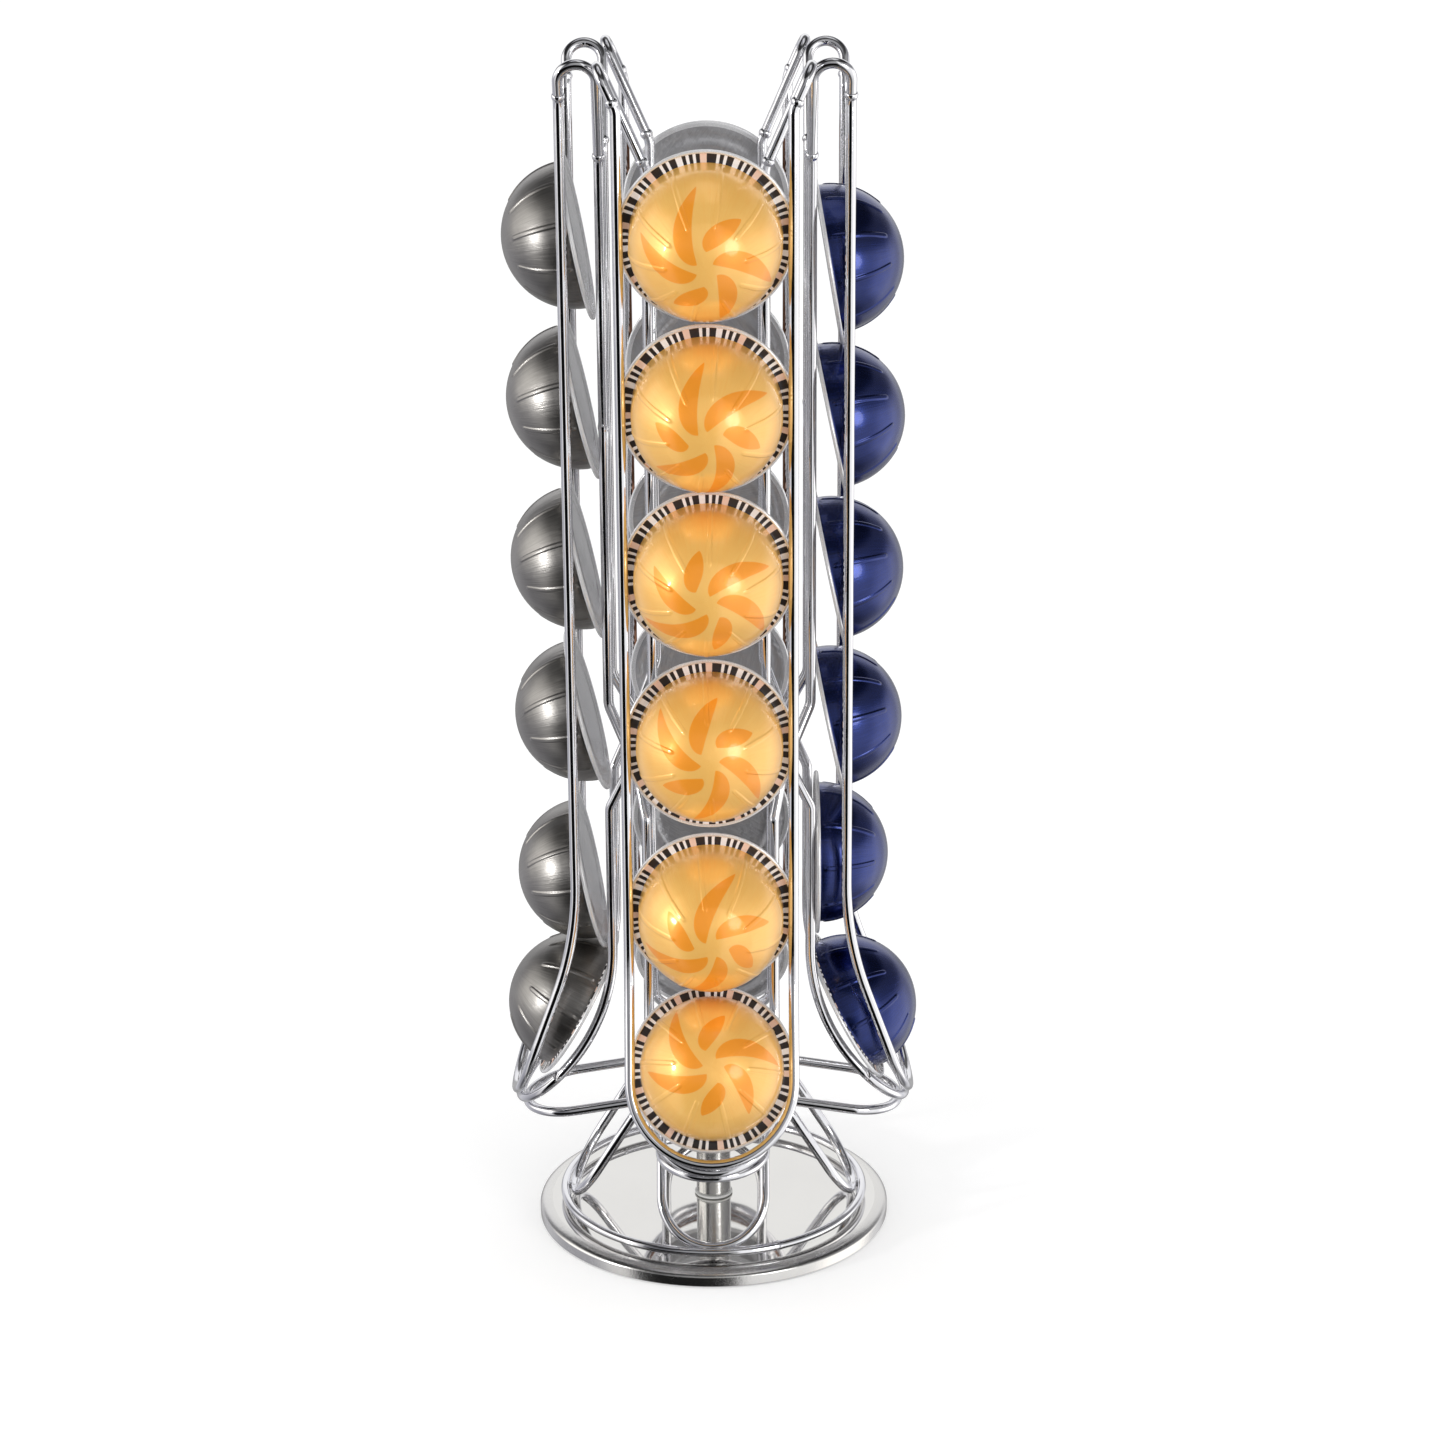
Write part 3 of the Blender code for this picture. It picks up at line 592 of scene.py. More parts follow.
# %% Paths of the loops, feet and ring
LOOP_HALF = 0.0195
LOOP_FLAT_HALF_LENGTH = 0.026
UPPER_LOOP_HEIGHT = 0.055
LOOP_HEIGHTS = {"side_to_side_loop": UPPER_LOOP_HEIGHT,
                "front_to_back_loop": UPPER_LOOP_HEIGHT - WIRE_CONTACT}
LOOP_END_LEAN = math.radians(40)
LOOP_END_RADIUS = INNER_FOOT_RADIUS - WIRE_CONTACT * math.sin(LOOP_END_LEAN)
LOOP_END_HEIGHT = INNER_FOOT_HEIGHT - WIRE_CONTACT * math.cos(LOOP_END_LEAN)
RING_RADIUS = 0.0583
RING_HEIGHT = 0.0099
RING_POINTS = 160
FOOT_LAP = 0.005
FOOT_TOP_RADIUS = LOOP_HALF + RAIL_WIRE + 2 * WELD_GAP
FOOT_END_RADIUS = RING_RADIUS - RING_WIRE / 2 - WELD_GAP - RAIL_WIRE / 2


def racetrack_path(centre_height):
    corners = []
    for side, end in ((1, 1), (1, -1), (-1, -1), (-1, 1)):
        shoulder = corner(side * LOOP_HALF, end * LOOP_FLAT_HALF_LENGTH, centre_height, 2 * BEND_RADIUS,
                          U_BEND_STEP)
        tip = corner(side * LOOP_HALF, end * LOOP_END_RADIUS, LOOP_END_HEIGHT, LOOP_HALF, U_BEND_STEP)
        corners += [tip, shoulder] if side * end > 0 else [shoulder, tip]
    return closed_path(corners)


def foot_path(loop_height):
    lap_height = loop_height - WIRE_CONTACT
    half = [
        corner(LOOP_HALF, FOOT_TOP_RADIUS, lap_height),
        corner(LOOP_HALF, FOOT_TOP_RADIUS + FOOT_LAP, lap_height, BEND_RADIUS),
        corner(LOOP_HALF, FOOT_END_RADIUS, RING_HEIGHT, LOOP_HALF, U_BEND_STEP),
    ]
    return bent_path(half + mirrored(half))


def circle_path(radius, height, count):
    turns = [2 * math.pi * index / count for index in range(count)]
    return [Vector((radius * math.cos(turn), radius * math.sin(turn), height)) for turn in turns]


print("the loops cross at", [round(height, 4) for height in LOOP_HEIGHTS.values()])

# %% Bend the loops, feet and ring
for loop_name, loop_height in LOOP_HEIGHTS.items():
    loop = make_wire(loop_name, racetrack_path(loop_height), RAIL_WIRE, cyclic=True, beads=(LOOP_BEAD,))
    if loop_name == "side_to_side_loop":
        loop.data.transform(quarter_turn(1))
    finish_piece(loop, loop_name + "_wire", "carousel", "chrome_wire", loop_name)

ring = make_wire("base_ring", circle_path(RING_RADIUS, RING_HEIGHT, RING_POINTS), RING_WIRE, cyclic=True,
                 beads=(RING_BEAD,))
finish_piece(ring, "base_ring_wire", "carousel", "chrome_wire", "base_ring")

foot_patterns = [make_wire("foot", foot_path(LOOP_HEIGHTS[name]), RAIL_WIRE)
                 for name in ("front_to_back_loop", "side_to_side_loop")]
for index, channel in enumerate(CHANNELS):
    node = f"{channel}_foot_loop"
    foot = copied(foot_patterns[index % 2], node, quarter_turn(index))
    finish_piece(foot, node + "_wire", "carousel", "chrome_wire", node)
for pattern in foot_patterns:
    remove(pattern)
print("loops, ring and", len(CHANNELS), "feet are in place")

# %% [markdown]
# ## Spot welds
# Where two wires only touch, a spot welder pressed them together, and a little molten metal set in the
# groove between them. We model one such nugget: a ball pressed flat, with an uneven skin. Copies fill
# the hairline gaps that the solid model leaves at every joint.

# %% One weld nugget and how to lay it
NUGGET_UNEVENNESS = 0.00007


def make_nugget(length, width, depth):
    start_clean()
    bpy.ops.mesh.primitive_uv_sphere_add(segments=20, ring_count=12, radius=0.5, location=(0, 0, 0))
    edit_all()
    bpy.ops.transform.resize(value=(length, width, depth))
    bpy.ops.transform.vertex_random(offset=NUGGET_UNEVENNESS, uniform=0.4, normal=0.6, seed=4)
    bpy.ops.object.mode_set(mode="OBJECT")
    bpy.ops.object.shade_smooth()
    dress(bpy.context.object, weld_chrome)
    return bpy.context.object


def lying(spot, along, across):
    """The place of a nugget whose length runs along one direction and whose depth runs across."""
    first = along.normalized()
    third = (across - first * across.dot(first)).normalized()
    second = third.cross(first)
    turn = Matrix((first, second, third)).transposed().to_4x4()
    return Matrix.Translation(spot) @ turn


def on_four_sides(*spots):
    """Spots of the front channel, each (point, along, across), turned round to all four."""
    return [quarter_turn(index) @ lying(*spot) for index in range(4) for spot in spots]


def weld_set(name, size, places):
    """Lay one nugget at each place and join them."""
    pattern = make_nugget(*size)
    laid = [copied(pattern, name, matrix) for matrix in places]
    remove(pattern)
    finish_piece(join(laid), name, "carousel", "chrome_wire")
    print(name, "has", len(laid), "nuggets")


# %% Welds of the mouth and the pinch
UP = Vector((0, 0, 1))
SIDEWAYS = Vector((1, 0, 0))
OUTWARDS = Vector((0, -1, 0))
DIAGONAL = Vector((1, 1, 0))
# Length, width and depth of the nuggets
CORNER_NUGGET = (0.0030, 0.0026, 0.0012)
PINCH_NUGGET = (0.0068, 0.0024, 0.0011)
FOOT_NUGGET = (0.0060, 0.0025, 0.0011)
RING_NUGGET = (0.0052, 0.0024, 0.0012)
LAP_NUGGET = (0.0055, 0.0024, 0.0011)
CROSSING_NUGGET = (0.0030, 0.0030, 0.0011)

lean_share = MOUTH_SIN / math.sqrt(1 + MOUTH_SIN ** 2)
arch_height = OUTER_BEND_HEIGHT + HAIRPIN_LEG * MOUTH_COS
corner_spot = place(ARCH_SIDE + ARCH_RADIUS * MOUTH_SIN * lean_share + WIRE_CONTACT / math.sqrt(8),
                    ARCH_MIDDLE - ARCH_RADIUS / math.sqrt(1 + MOUTH_SIN ** 2) - WIRE_CONTACT / math.sqrt(8),
                    arch_height + ARCH_RADIUS * MOUTH_COS * lean_share)
pinch_spot = place(PINCH_MIDDLE, PINCH_MIDDLE, PINCH_HEIGHT)
weld_set("corner_welds", CORNER_NUGGET, on_four_sides((corner_spot, UP, DIAGONAL)))
weld_set("pinch_welds", PINCH_NUGGET, on_four_sides((pinch_spot, UP, DIAGONAL)))


# %% Welds of the feet, laps and crossings
def between(first, second):
    """A nugget's spot in the groove between two wires that lie side by side."""
    return (first + second) / 2, SIDEWAYS, second - first


outer_foot = place(0, OUTER_FOOT_RADIUS, OUTER_FOOT_HEIGHT)
inner_foot = place(0, INNER_FOOT_RADIUS, INNER_FOOT_HEIGHT)
loop_end = place(0, LOOP_END_RADIUS, LOOP_END_HEIGHT)
foot_end = place(0, FOOT_END_RADIUS, RING_HEIGHT)
ring_side = place(0, RING_RADIUS, RING_HEIGHT)
weld_set("foot_stack_welds", FOOT_NUGGET,
         on_four_sides(between(outer_foot, inner_foot), between(inner_foot, loop_end)))
weld_set("ring_welds", RING_NUGGET, on_four_sides(between(foot_end, ring_side)))

LAP_MIDDLE = 0.0028
for index, loop_name in enumerate(("front_to_back_loop", "side_to_side_loop")):
    groove = LOOP_HEIGHTS[loop_name] - WIRE_CONTACT / 2
    spots = [(place(side * LOOP_HALF, FOOT_TOP_RADIUS + LAP_MIDDLE, groove), OUTWARDS, UP)
             for side in (-1, 1)]
    weld_set(loop_name + "_lap_welds", LAP_NUGGET,
             [quarter_turn(index + turn) @ lying(*spot) for turn in (0, 2) for spot in spots])
crossing = place(LOOP_HALF, LOOP_HALF, UPPER_LOOP_HEIGHT - WIRE_CONTACT / 2)
weld_set("crossing_welds", CROSSING_NUGGET, on_four_sides((crossing, SIDEWAYS, UP)))

# %% [markdown]
# ## Turned pieces
# The disc, the sleeve and the capsules are all round about one axis. A lathe hand in Blender is Spin: a
# line of points is drawn and swept round the axis. The helper starts from a plane merged to one point
# and extrudes it along the outline. The sweep may take wide and narrow steps in turn, so that the mesh
# is fine only where a capsule's ribs will stand.

# %% Lathe helper
LATHE_SHARP_ANGLE = 40


def turned(name, outline, sweeps):
    """Sweeps are (steps, degrees) and add up to a full turn."""
    start_clean()
    bpy.ops.mesh.primitive_plane_add(size=0.001, location=(0, 0, 0))
    thing = bpy.context.object
    edit_all()
    bpy.ops.mesh.merge(type="CENTER")
    bpy.ops.transform.translate(value=(outline[0][0], 0, outline[0][1]))
    for before, after in zip(outline, outline[1:]):
        step = (after[0] - before[0], 0, after[1] - before[1])
        bpy.ops.mesh.extrude_region_move(TRANSFORM_OT_translate={"value": step})
    bpy.ops.mesh.select_all(action="SELECT")
    for steps, degrees in sweeps:
        bpy.ops.mesh.spin(steps=steps, angle=math.radians(degrees), center=(0, 0, 0), axis=(0, 0, 1))
    bpy.ops.mesh.select_all(action="SELECT")
    bpy.ops.mesh.remove_doubles(threshold=2 * SAME_SPOT)
    bpy.ops.mesh.normals_make_consistent(inside=False)
    thing.name = name
    close_smooth(LATHE_SHARP_ANGLE)
    return thing


def arc_outline(centre, radius, start, end, count):
    """Points on an arc in the outline's plane, angles in degrees from outwards towards up."""
    angles = [math.radians(start + (end - start) * index / count) for index in range(count + 1)]
    return [(centre[0] + radius * math.cos(angle), centre[1] + radius * math.sin(angle)) for angle in angles]


# %% [markdown]
# ## Foot disc and pivot
# The foot is a pressed steel cap, mirror polished on top, with a broad rounded lip that is a little
# less bright. The plain tube in its middle is the sleeve that the tower turns on, over a thin washer.
# A domed nut closes the bolt where nobody looks, except from straight above.

# %% Finishes of the foot
mirror_steel = worked_finish("mirror_steel", 1.0, ((0.74, 0.73, 0.71), (0.80, 0.79, 0.77)), (0.02, 0.06),
                             30.0, 0.00015, cloud_scale=25.0)
satin_steel = worked_finish("satin_steel", 1.0, ((0.70, 0.69, 0.67), (0.80, 0.79, 0.77)), (0.16, 0.26),
                            900.0, 0.0001)
dark_steel = worked_finish("ballast_steel", 1.0, ((0.25, 0.24, 0.24), (0.36, 0.35, 0.35)), (0.45, 0.60),
                           500.0, 0.0004)
white_plastic = worked_finish("white_plastic", 0.0, ((0.74, 0.74, 0.72), (0.82, 0.82, 0.80)), (0.35, 0.50),
                              1500.0, 0.0001)
black_rubber = worked_finish("black_rubber", 0.0, ((0.02, 0.02, 0.02), (0.035, 0.035, 0.035)), (0.75, 0.90),
                             900.0, 0.0006)
print("finishes so far:", len(bpy.data.materials))

# %% Turn the foot disc
DISC_RADIUS = 0.0682
DISC_TOP = 0.0063
DISC_FLAT_RADIUS = 0.0300
DISC_SHEET = 0.0012
LIP_WIDTH = 0.0048
LIP_DROP = 0.0023
LIP_STEPS = 15
SKIRT_BOTTOM = 0.0006
SKIRT_EDGE = 0.0002
BORE_RADIUS = 0.0033

disc_outline = [(BORE_RADIUS, DISC_TOP), (DISC_FLAT_RADIUS, DISC_TOP)]
for index in range(LIP_STEPS + 1):
    angle = math.radians(90 - 90 * index / LIP_STEPS)
    disc_outline.append((DISC_RADIUS - LIP_WIDTH * (1 - math.cos(angle)),
                         DISC_TOP - LIP_DROP * (1 - math.sin(angle))))
disc_outline += [(DISC_RADIUS, SKIRT_BOTTOM + SKIRT_EDGE), (DISC_RADIUS - SKIRT_EDGE, SKIRT_BOTTOM),
                 (DISC_RADIUS - DISC_SHEET, SKIRT_BOTTOM),
                 (DISC_RADIUS - DISC_SHEET, DISC_TOP - LIP_DROP - DISC_SHEET),
                 (DISC_RADIUS - LIP_WIDTH, DISC_TOP - DISC_SHEET), (BORE_RADIUS, DISC_TOP - DISC_SHEET),
                 (BORE_RADIUS, DISC_TOP)]
foot_disc = turned("foot_disc", disc_outline, [(180, 360)])
dress(foot_disc, mirror_steel, satin_steel)
for face in foot_disc.data.polygons:
    if math.hypot(face.center.x, face.center.y) > DISC_RADIUS - LIP_WIDTH:
        face.material_index = 1
finish_piece(foot_disc, "foot_disc", "base", "polished_steel", "base_disc")
print("foot disc has", len(foot_disc.data.polygons), "faces")

# %% Turn the sleeve and the washer
SLEEVE_RADIUS = 0.0067
SLEEVE_EDGE = 0.0004
WASHER_RADIUS = 0.0074
WASHER_EDGE = 0.0002


def turned_ring(name, low, high, outer, edge, material):
    """A ring with chamfered edges."""
    outline = [(BORE_RADIUS, low), (outer - edge, low), (outer, low + edge), (outer, high - edge),
               (outer - edge, high), (BORE_RADIUS, high), (BORE_RADIUS, low)]
    thing = turned(name, outline, [(64, 360)])
    dress(thing, material)
    return thing


low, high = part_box("pivot_sleeve")
sleeve = turned_ring("sleeve", low[2], high[2], SLEEVE_RADIUS, SLEEVE_EDGE, satin_steel)
finish_piece(sleeve, "turning_sleeve", "carousel", "polished_steel", "pivot_sleeve")
low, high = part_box("thrust_washer")
washer = turned_ring("washer", low[2], high[2], WASHER_RADIUS, WASHER_EDGE, white_plastic)
finish_piece(washer, "sliding_washer", "base", "white_plastic", "thrust_washer")
print("the sleeve is", round(2 * SLEEVE_RADIUS, 4), "m wide and the washer", round(2 * WASHER_RADIUS, 4))

# %% Make the domed nut
NUT_CORNER_RADIUS = 0.0050
NUT_DOME_RADIUS = 0.0041
NUT_HEX_SHARE = 0.5
NUT_OVERLAP = 0.0001
NUT_WEAR = 0.0004
NUT_SHARP_ANGLE = 30

low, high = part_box("pivot_nut")
hex_height = (high[2] - low[2]) * NUT_HEX_SHARE
start_clean()
bpy.ops.mesh.primitive_cylinder_add(vertices=6, radius=NUT_CORNER_RADIUS, depth=hex_height,
                                    location=(0, 0, low[2] + hex_height / 2), rotation=(0, 0, math.pi / 6))
nut = bpy.context.object
bpy.ops.object.transform_apply(location=True, rotation=True, scale=True)
rounding = nut.modifiers.new("worn_corners", "BEVEL")
rounding.width = NUT_WEAR
rounding.segments = 3
bpy.ops.object.modifier_apply(modifier=rounding.name)
dome_centre = (0, low[2] + hex_height - NUT_OVERLAP)
dome = turned("nut_dome", arc_outline(dome_centre, NUT_DOME_RADIUS, 0, 90, 14), [(48, 360)])
dome.scale = (1, 1, (high[2] - low[2] - hex_height) / NUT_DOME_RADIUS)
bpy.ops.object.transform_apply(location=True, rotation=True, scale=True)
join([nut, dome])
close_smooth(NUT_SHARP_ANGLE)
dress(nut, chrome)
finish_piece(nut, "domed_nut", "base", "polished_steel", "pivot_nut")
print("the domed nut has", len(nut.data.polygons), "faces")

# %% [markdown]
# ## Capsules
# A capsule is a drawn aluminium cup: a near half ball with a rolled edge, closed by a foil lid. The
# gold ones on the front have a short cylinder under the ball. Ten thin ribs are pressed into the shell
# so that it doesn't buckle when it is pierced. A printed ring of ticks lies on the flange.

# %% Outline of a capsule, standing on its lid
RIBS = 10
# From the middle of the foil out to the rolled rim: radius and height
LID_OUTLINE = [(0.0, 0.00052), (0.0100, 0.00050), (0.0190, 0.00047), (0.0212, 0.00044), (0.0216, 0.00024),
               (0.0222, 0.00020), (0.0236, 0.00020), (0.0241, 0.00040), (0.0262, 0.00040), (0.0268, 0.00016),
               (0.0290, 0.00006)]
# From the rolled rim in over the printed flat to the shell
FLANGE_OUTLINE = [(0.0298, 0.00132), (0.0295, 0.00096), (0.0290, 0.0009), (0.0272, 0.0009),
                  (0.0268, 0.00102), (0.02655, 0.00130)]
WALL_START = 0.0017
WALL_END_GAP = 0.0002
WALL_SHARES = (0, 0.25, 0.4, 0.55, 0.8)
LOWEST_DOME_ANGLES = [0, 2, 3.2, 4.4, 5.6, 7, 9]


def dome_angles(rib_end):
    """Degrees up the dome, closer together where the ribs begin and end."""
    angles = [angle for angle in (*LOWEST_DOME_ANGLES, *range(12, 45, 3)) if angle < rib_end - 3.5]
    angles += [rib_end + step for step in (-2.4, -1.2, 0, 1.2, 2.4, 3.8)]
    while angles[-1] < 85:
        angles.append(angles[-1] + 4)
    return angles + [90]


def capsule_outline(height, rib_end):
    ball = height - SHELL_RADIUS
    wall = ball - 2 * BEAD_RADIUS
    outline = list(LID_OUTLINE)
    outline += arc_outline((RIM_RADIUS - BEAD_RADIUS, BEAD_RADIUS), BEAD_RADIUS, -90, 90, 10)
    outline += FLANGE_OUTLINE
    if wall > 0:
        outline += [(SHELL_RADIUS, WALL_START + (wall - WALL_END_GAP) * share) for share in WALL_SHARES]
    for angle in dome_angles(rib_end):
        turn = math.radians(angle)
        radius = SHELL_RADIUS * math.cos(turn) if angle < 90 else 0.0
        outline.append((radius, ball + SHELL_RADIUS * math.sin(turn)))
    return outline


# %% [markdown]
# The ribs are pushed out of the shell in code: every point of the shell looks how far it is from the
# middle line of the nearest rib, and moves out by the rib's cross section. Two UV maps go with the
# shape. `around` holds the angle and the height, for ticks and drawing lines, and `seen_flat` is the
# view straight down on the dome, for the printed leaves.

# %% Press the ribs and lay out the maps
RIB_HALF_WIDTH = 0.00095
RIB_FLAT = 0.00055
SHELL_START = 0.0014
PLAIN_TOP_RADIUS = 0.005
MAP_HEIGHT = 0.04
ON_AXIS = 1e-5


def press_ribs(thing, height, rib_height, rib_start, rib_end):
    ball = height - SHELL_RADIUS
    last = ball + SHELL_RADIUS * math.radians(rib_end)
    for vertex in thing.data.vertices:
        outwards = math.hypot(vertex.co.x, vertex.co.y)
        if vertex.co.z < SHELL_START or not PLAIN_TOP_RADIUS <= outwards <= SHELL_RADIUS + ON_AXIS:
            continue
        lift = max(vertex.co.z - ball, 0.0)
        along = min(vertex.co.z, ball) + SHELL_RADIUS * math.asin(min(lift / SHELL_RADIUS, 1.0))
        turn = math.atan2(vertex.co.y, vertex.co.x) * RIBS / (2 * math.pi)
        across = (turn - round(turn)) * 2 * math.pi / RIBS * outwards
        beyond = max(0.0, rib_start - along, along - last)
        from_flat = (math.hypot(across, beyond) - RIB_FLAT) / (RIB_HALF_WIDTH - RIB_FLAT)
        share = 1 - min(max(from_flat, 0.0), 1.0)
        push = rib_height * share * share * (3 - 2 * share)
        vertex.co += Vector((vertex.co.x, vertex.co.y, lift)).normalized() * push


def lay_out_maps(thing):
    mesh = thing.data
    around = mesh.uv_layers.new(name="around")
    seen_flat = mesh.uv_layers.new(name="seen_flat")
    for face in mesh.polygons:
        middle = math.atan2(face.center.y, face.center.x) / (2 * math.pi) % 1.0
        for loop_index in face.loop_indices:
            co = mesh.vertices[mesh.loops[loop_index].vertex_index].co
            turn = middle
            if math.hypot(co.x, co.y) > ON_AXIS:
                turn = math.atan2(co.y, co.x) / (2 * math.pi) % 1.0
                turn += round(middle - turn)
            around.data[loop_index].uv = (turn, co.z / MAP_HEIGHT)
            seen_flat.data[loop_index].uv = (0.5 + co.x / (2 * RIM_RADIUS), 0.5 + co.y / (2 * RIM_RADIUS))


# %% [markdown]
# ## Finishes of the capsules
# The shells are lacquered aluminium. The press drew them deep and left fine lines that run from the rim
# to the top, so highlights break up into streaks. One node group makes those lines for every colour,
# together with the little folds of the metal just above the flange.

# %% Drawing lines, one group for all shells
def unwrapped(tree):
    """The share of a turn and the share of the map's height."""
    unwrap = add_node(tree, "UVMap", uv_map="around")
    parts = add_node(tree, "SeparateXYZ", {0: unwrap.outputs["UV"]}).outputs
    return parts["X"], parts["Y"]


def make_drawing_lines():
    group = new_group("drawing_lines", (), ("Lines", "Folds", "Height"))
    turn_share, height = unwrapped(group)
    turn = product(group, turn_share, 2 * math.pi)
    ring_x, ring_y = math_node(group, "COSINE", turn), math_node(group, "SINE", turn)
    results = {"Height": height}
    for label, fineness, length in (("Lines", 60.0, 5.0), ("Folds", 14.0, 1.0)):
        where = add_node(group, "CombineXYZ", {"X": product(group, ring_x, fineness),
                                               "Y": product(group, ring_y, fineness),
                                               "Z": product(group, height, length)})
        results[label] = noise(group, where.outputs["Vector"], 1.0)
    feed(group, group.nodes.new("NodeGroupOutput"), results)
    return group


drawing_lines = make_drawing_lines()


def shell_finish(name, metallic, colours, roughness_range, line_depth, coat, coat_roughness, leaf=None):
    material, tree, shader = new_material(name, metallic, roughness_range[0])
    lines = add_node(tree, "Group", node_tree=drawing_lines).outputs
    clouds, scratches = add_marks(tree, 45.0, 500.0)
    from_middle = math_node(tree, "SUBTRACT", lines["Lines"], 0.5)
    colour = mix_colour(tree, math_node(tree, "MULTIPLY_ADD", from_middle, 0.8, clouds), *colours)
    if leaf:
        colour = mix_colour(tree, leaf_mask(tree), colour, leaf)
    gloss = ranged(tree, lines["Lines"], *roughness_range)
    near_rim = math_node(tree, "SUBTRACT", 1.0, smooth_step(tree, lines["Height"], 0.05, 0.20))
    relief = math_node(tree, "ADD", lines["Lines"], product(tree, lines["Folds"], near_rim, 6.0))
    feed(tree, shader, {"Base Color": colour,
                        "Roughness": math_node(tree, "MULTIPLY_ADD", scratches, 0.05, gloss),
                        "Normal": bump_node(tree, relief, 0.5, line_depth),
                        "Coat Weight": coat, "Coat Roughness": coat_roughness})
    return material


print("drawing lines have", len(drawing_lines.nodes), "nodes")

# %% [markdown]
# The gold shells carry a print in a deeper orange. Ours is a plain rosette of six curved leaves, each
# a little longer or shorter than the next. It is worked out from the angle and the distance to the top.

# %% The printed leaves of the gold shells
LEAVES = 6
LEAF_SWIRL = 1.25
LEAF_HALF_WIDTH = 0.150
LEAF_EDGE = 0.014
# Shares of the way from the top to the shell's foot, for the least and the most of chance
LEAF_TIP_SHARES = (0.68, 0.94)
LEAF_ROOT_SHARES = (0.24, 0.10)


def leaf_mask(tree):
    flat = add_node(tree, "UVMap", uv_map="seen_flat").outputs["UV"]
    centred = add_node(tree, "VectorMath", {0: flat, 1: (0.5, 0.5, 0.0)}, operation="SUBTRACT").outputs[0]
    parts = add_node(tree, "SeparateXYZ", {0: centred}).outputs
    length = add_node(tree, "VectorMath", {0: centred}, operation="LENGTH").outputs["Value"]
    reach = product(tree, length, 2 * RIM_RADIUS / SHELL_RADIUS)
    turn = math_node(tree, "ARCTAN2", parts["Y"], parts["X"])
    leaves = product(tree, math_node(tree, "MULTIPLY_ADD", reach, LEAF_SWIRL, turn), LEAVES / (2 * math.pi))
    number = math_node(tree, "ROUND", leaves)
    chance = add_node(tree, "TexWhiteNoise", noise_dimensions="1D")
    feed(tree, chance, {"W": math_node(tree, "WRAP", number, 0.0, float(LEAVES))})
    sideways = math_node(tree, "ABSOLUTE", math_node(tree, "SUBTRACT", leaves, number))
    across = product(tree, sideways, 2 * math.pi / LEAVES, reach)
    tip = ranged(tree, chance.outputs["Value"], *LEAF_TIP_SHARES)
    root = ranged(tree, chance.outputs["Value"], *LEAF_ROOT_SHARES)
    span = math_node(tree, "DIVIDE", math_node(tree, "SUBTRACT", reach, root),
                     math_node(tree, "SUBTRACT", tip, root))
    inside = add_node(tree, "Clamp", {"Value": span}).outputs[0]
    bulge = math_node(tree, "POWER", math_node(tree, "SINE", product(tree, inside, math.pi)), 0.7)
    half_width = product(tree, bulge, LEAF_HALF_WIDTH)
    return smooth_step(tree, math_node(tree, "SUBTRACT", half_width, across), 0.0, LEAF_EDGE)


print("the print has", LEAVES, "leaves")

# %% [markdown]
# The lid is dull foil. Rolling left fine parallel streaks in it, and sealing left it a little crinkled.
# The ring of ticks is one ramp with hard steps, repeated round the flange.

# %% Lids, rims and the ring of ticks
TICK_GROUPS = 9.0
BLACK, WHITE, BLUSH = (0.012, 0.008, 0.010), (0.92, 0.89, 0.88), (0.86, 0.62, 0.50)
# The width and the colour of each tick of a group
TICKS = ((6.6, BLACK), (4.8, BLUSH), (2.7, BLACK), (2.1, WHITE), (2.7, BLACK), (2.1, WHITE), (2.7, BLACK),
         (4.4, WHITE), (4.6, BLACK), (2.2, WHITE), (2.8, BLACK), (2.3, WHITE))


def lid_finish():
    material, tree, shader = new_material("lid_foil", 0.7, 0.25)
    clouds, _ = add_marks(tree, 70.0)
    flat = add_node(tree, "UVMap", uv_map="seen_flat").outputs["UV"]
    rolled = add_node(tree, "Mapping", {"Vector": flat, "Scale": (9.0, 130.0, 1.0)})
    streaks = noise(tree, rolled.outputs["Vector"], 1.0)
    crinkle = noise(tree, flat, 16.0, detail=3.0)
    relief = math_node(tree, "MULTIPLY_ADD", streaks, 0.12, crinkle)
    feed(tree, shader, {"Base Color": mix_colour(tree, streaks, (0.50, 0.50, 0.51), (0.78, 0.78, 0.79)),
                        "Roughness": ranged(tree, clouds, 0.14, 0.30),
                        "Normal": bump_node(tree, relief, 0.5, 0.0008)})
    return material


def tick_finish():
    """Black and blush ticks on white, wide and narrow in turn, nine groups round the flange."""
    material, tree, shader = new_material("printed_ticks", 0.0, 0.4)
    turn_share, _ = unwrapped(tree)
    stops, reached = [], 0.0
    for width, colour in TICKS:
        stops.append((reached / sum(width for width, _ in TICKS), colour))
        reached += width
    group_share = math_node(tree, "FRACT", product(tree, turn_share, TICK_GROUPS))
    ticks = ramp_node(tree, group_share, stops, "CONSTANT")
    clouds, _ = add_marks(tree, 150.0)
    worn = mix_colour(tree, product(tree, clouds, 0.05), ticks, (0.5, 0.47, 0.45))
    feed(tree, shader, {"Base Color": worn, "Roughness": ranged(tree, clouds, 0.28, 0.44)})
    return material


lid_foil = lid_finish()
printed_ticks = tick_finish()
rim_metal = worked_finish("rolled_rim", 0.5, ((0.88, 0.88, 0.89), (0.96, 0.96, 0.97)), (0.20, 0.30),
                          700.0, 0.0002)
print("a lid has", lid_foil.name, printed_ticks.name, rim_metal.name)

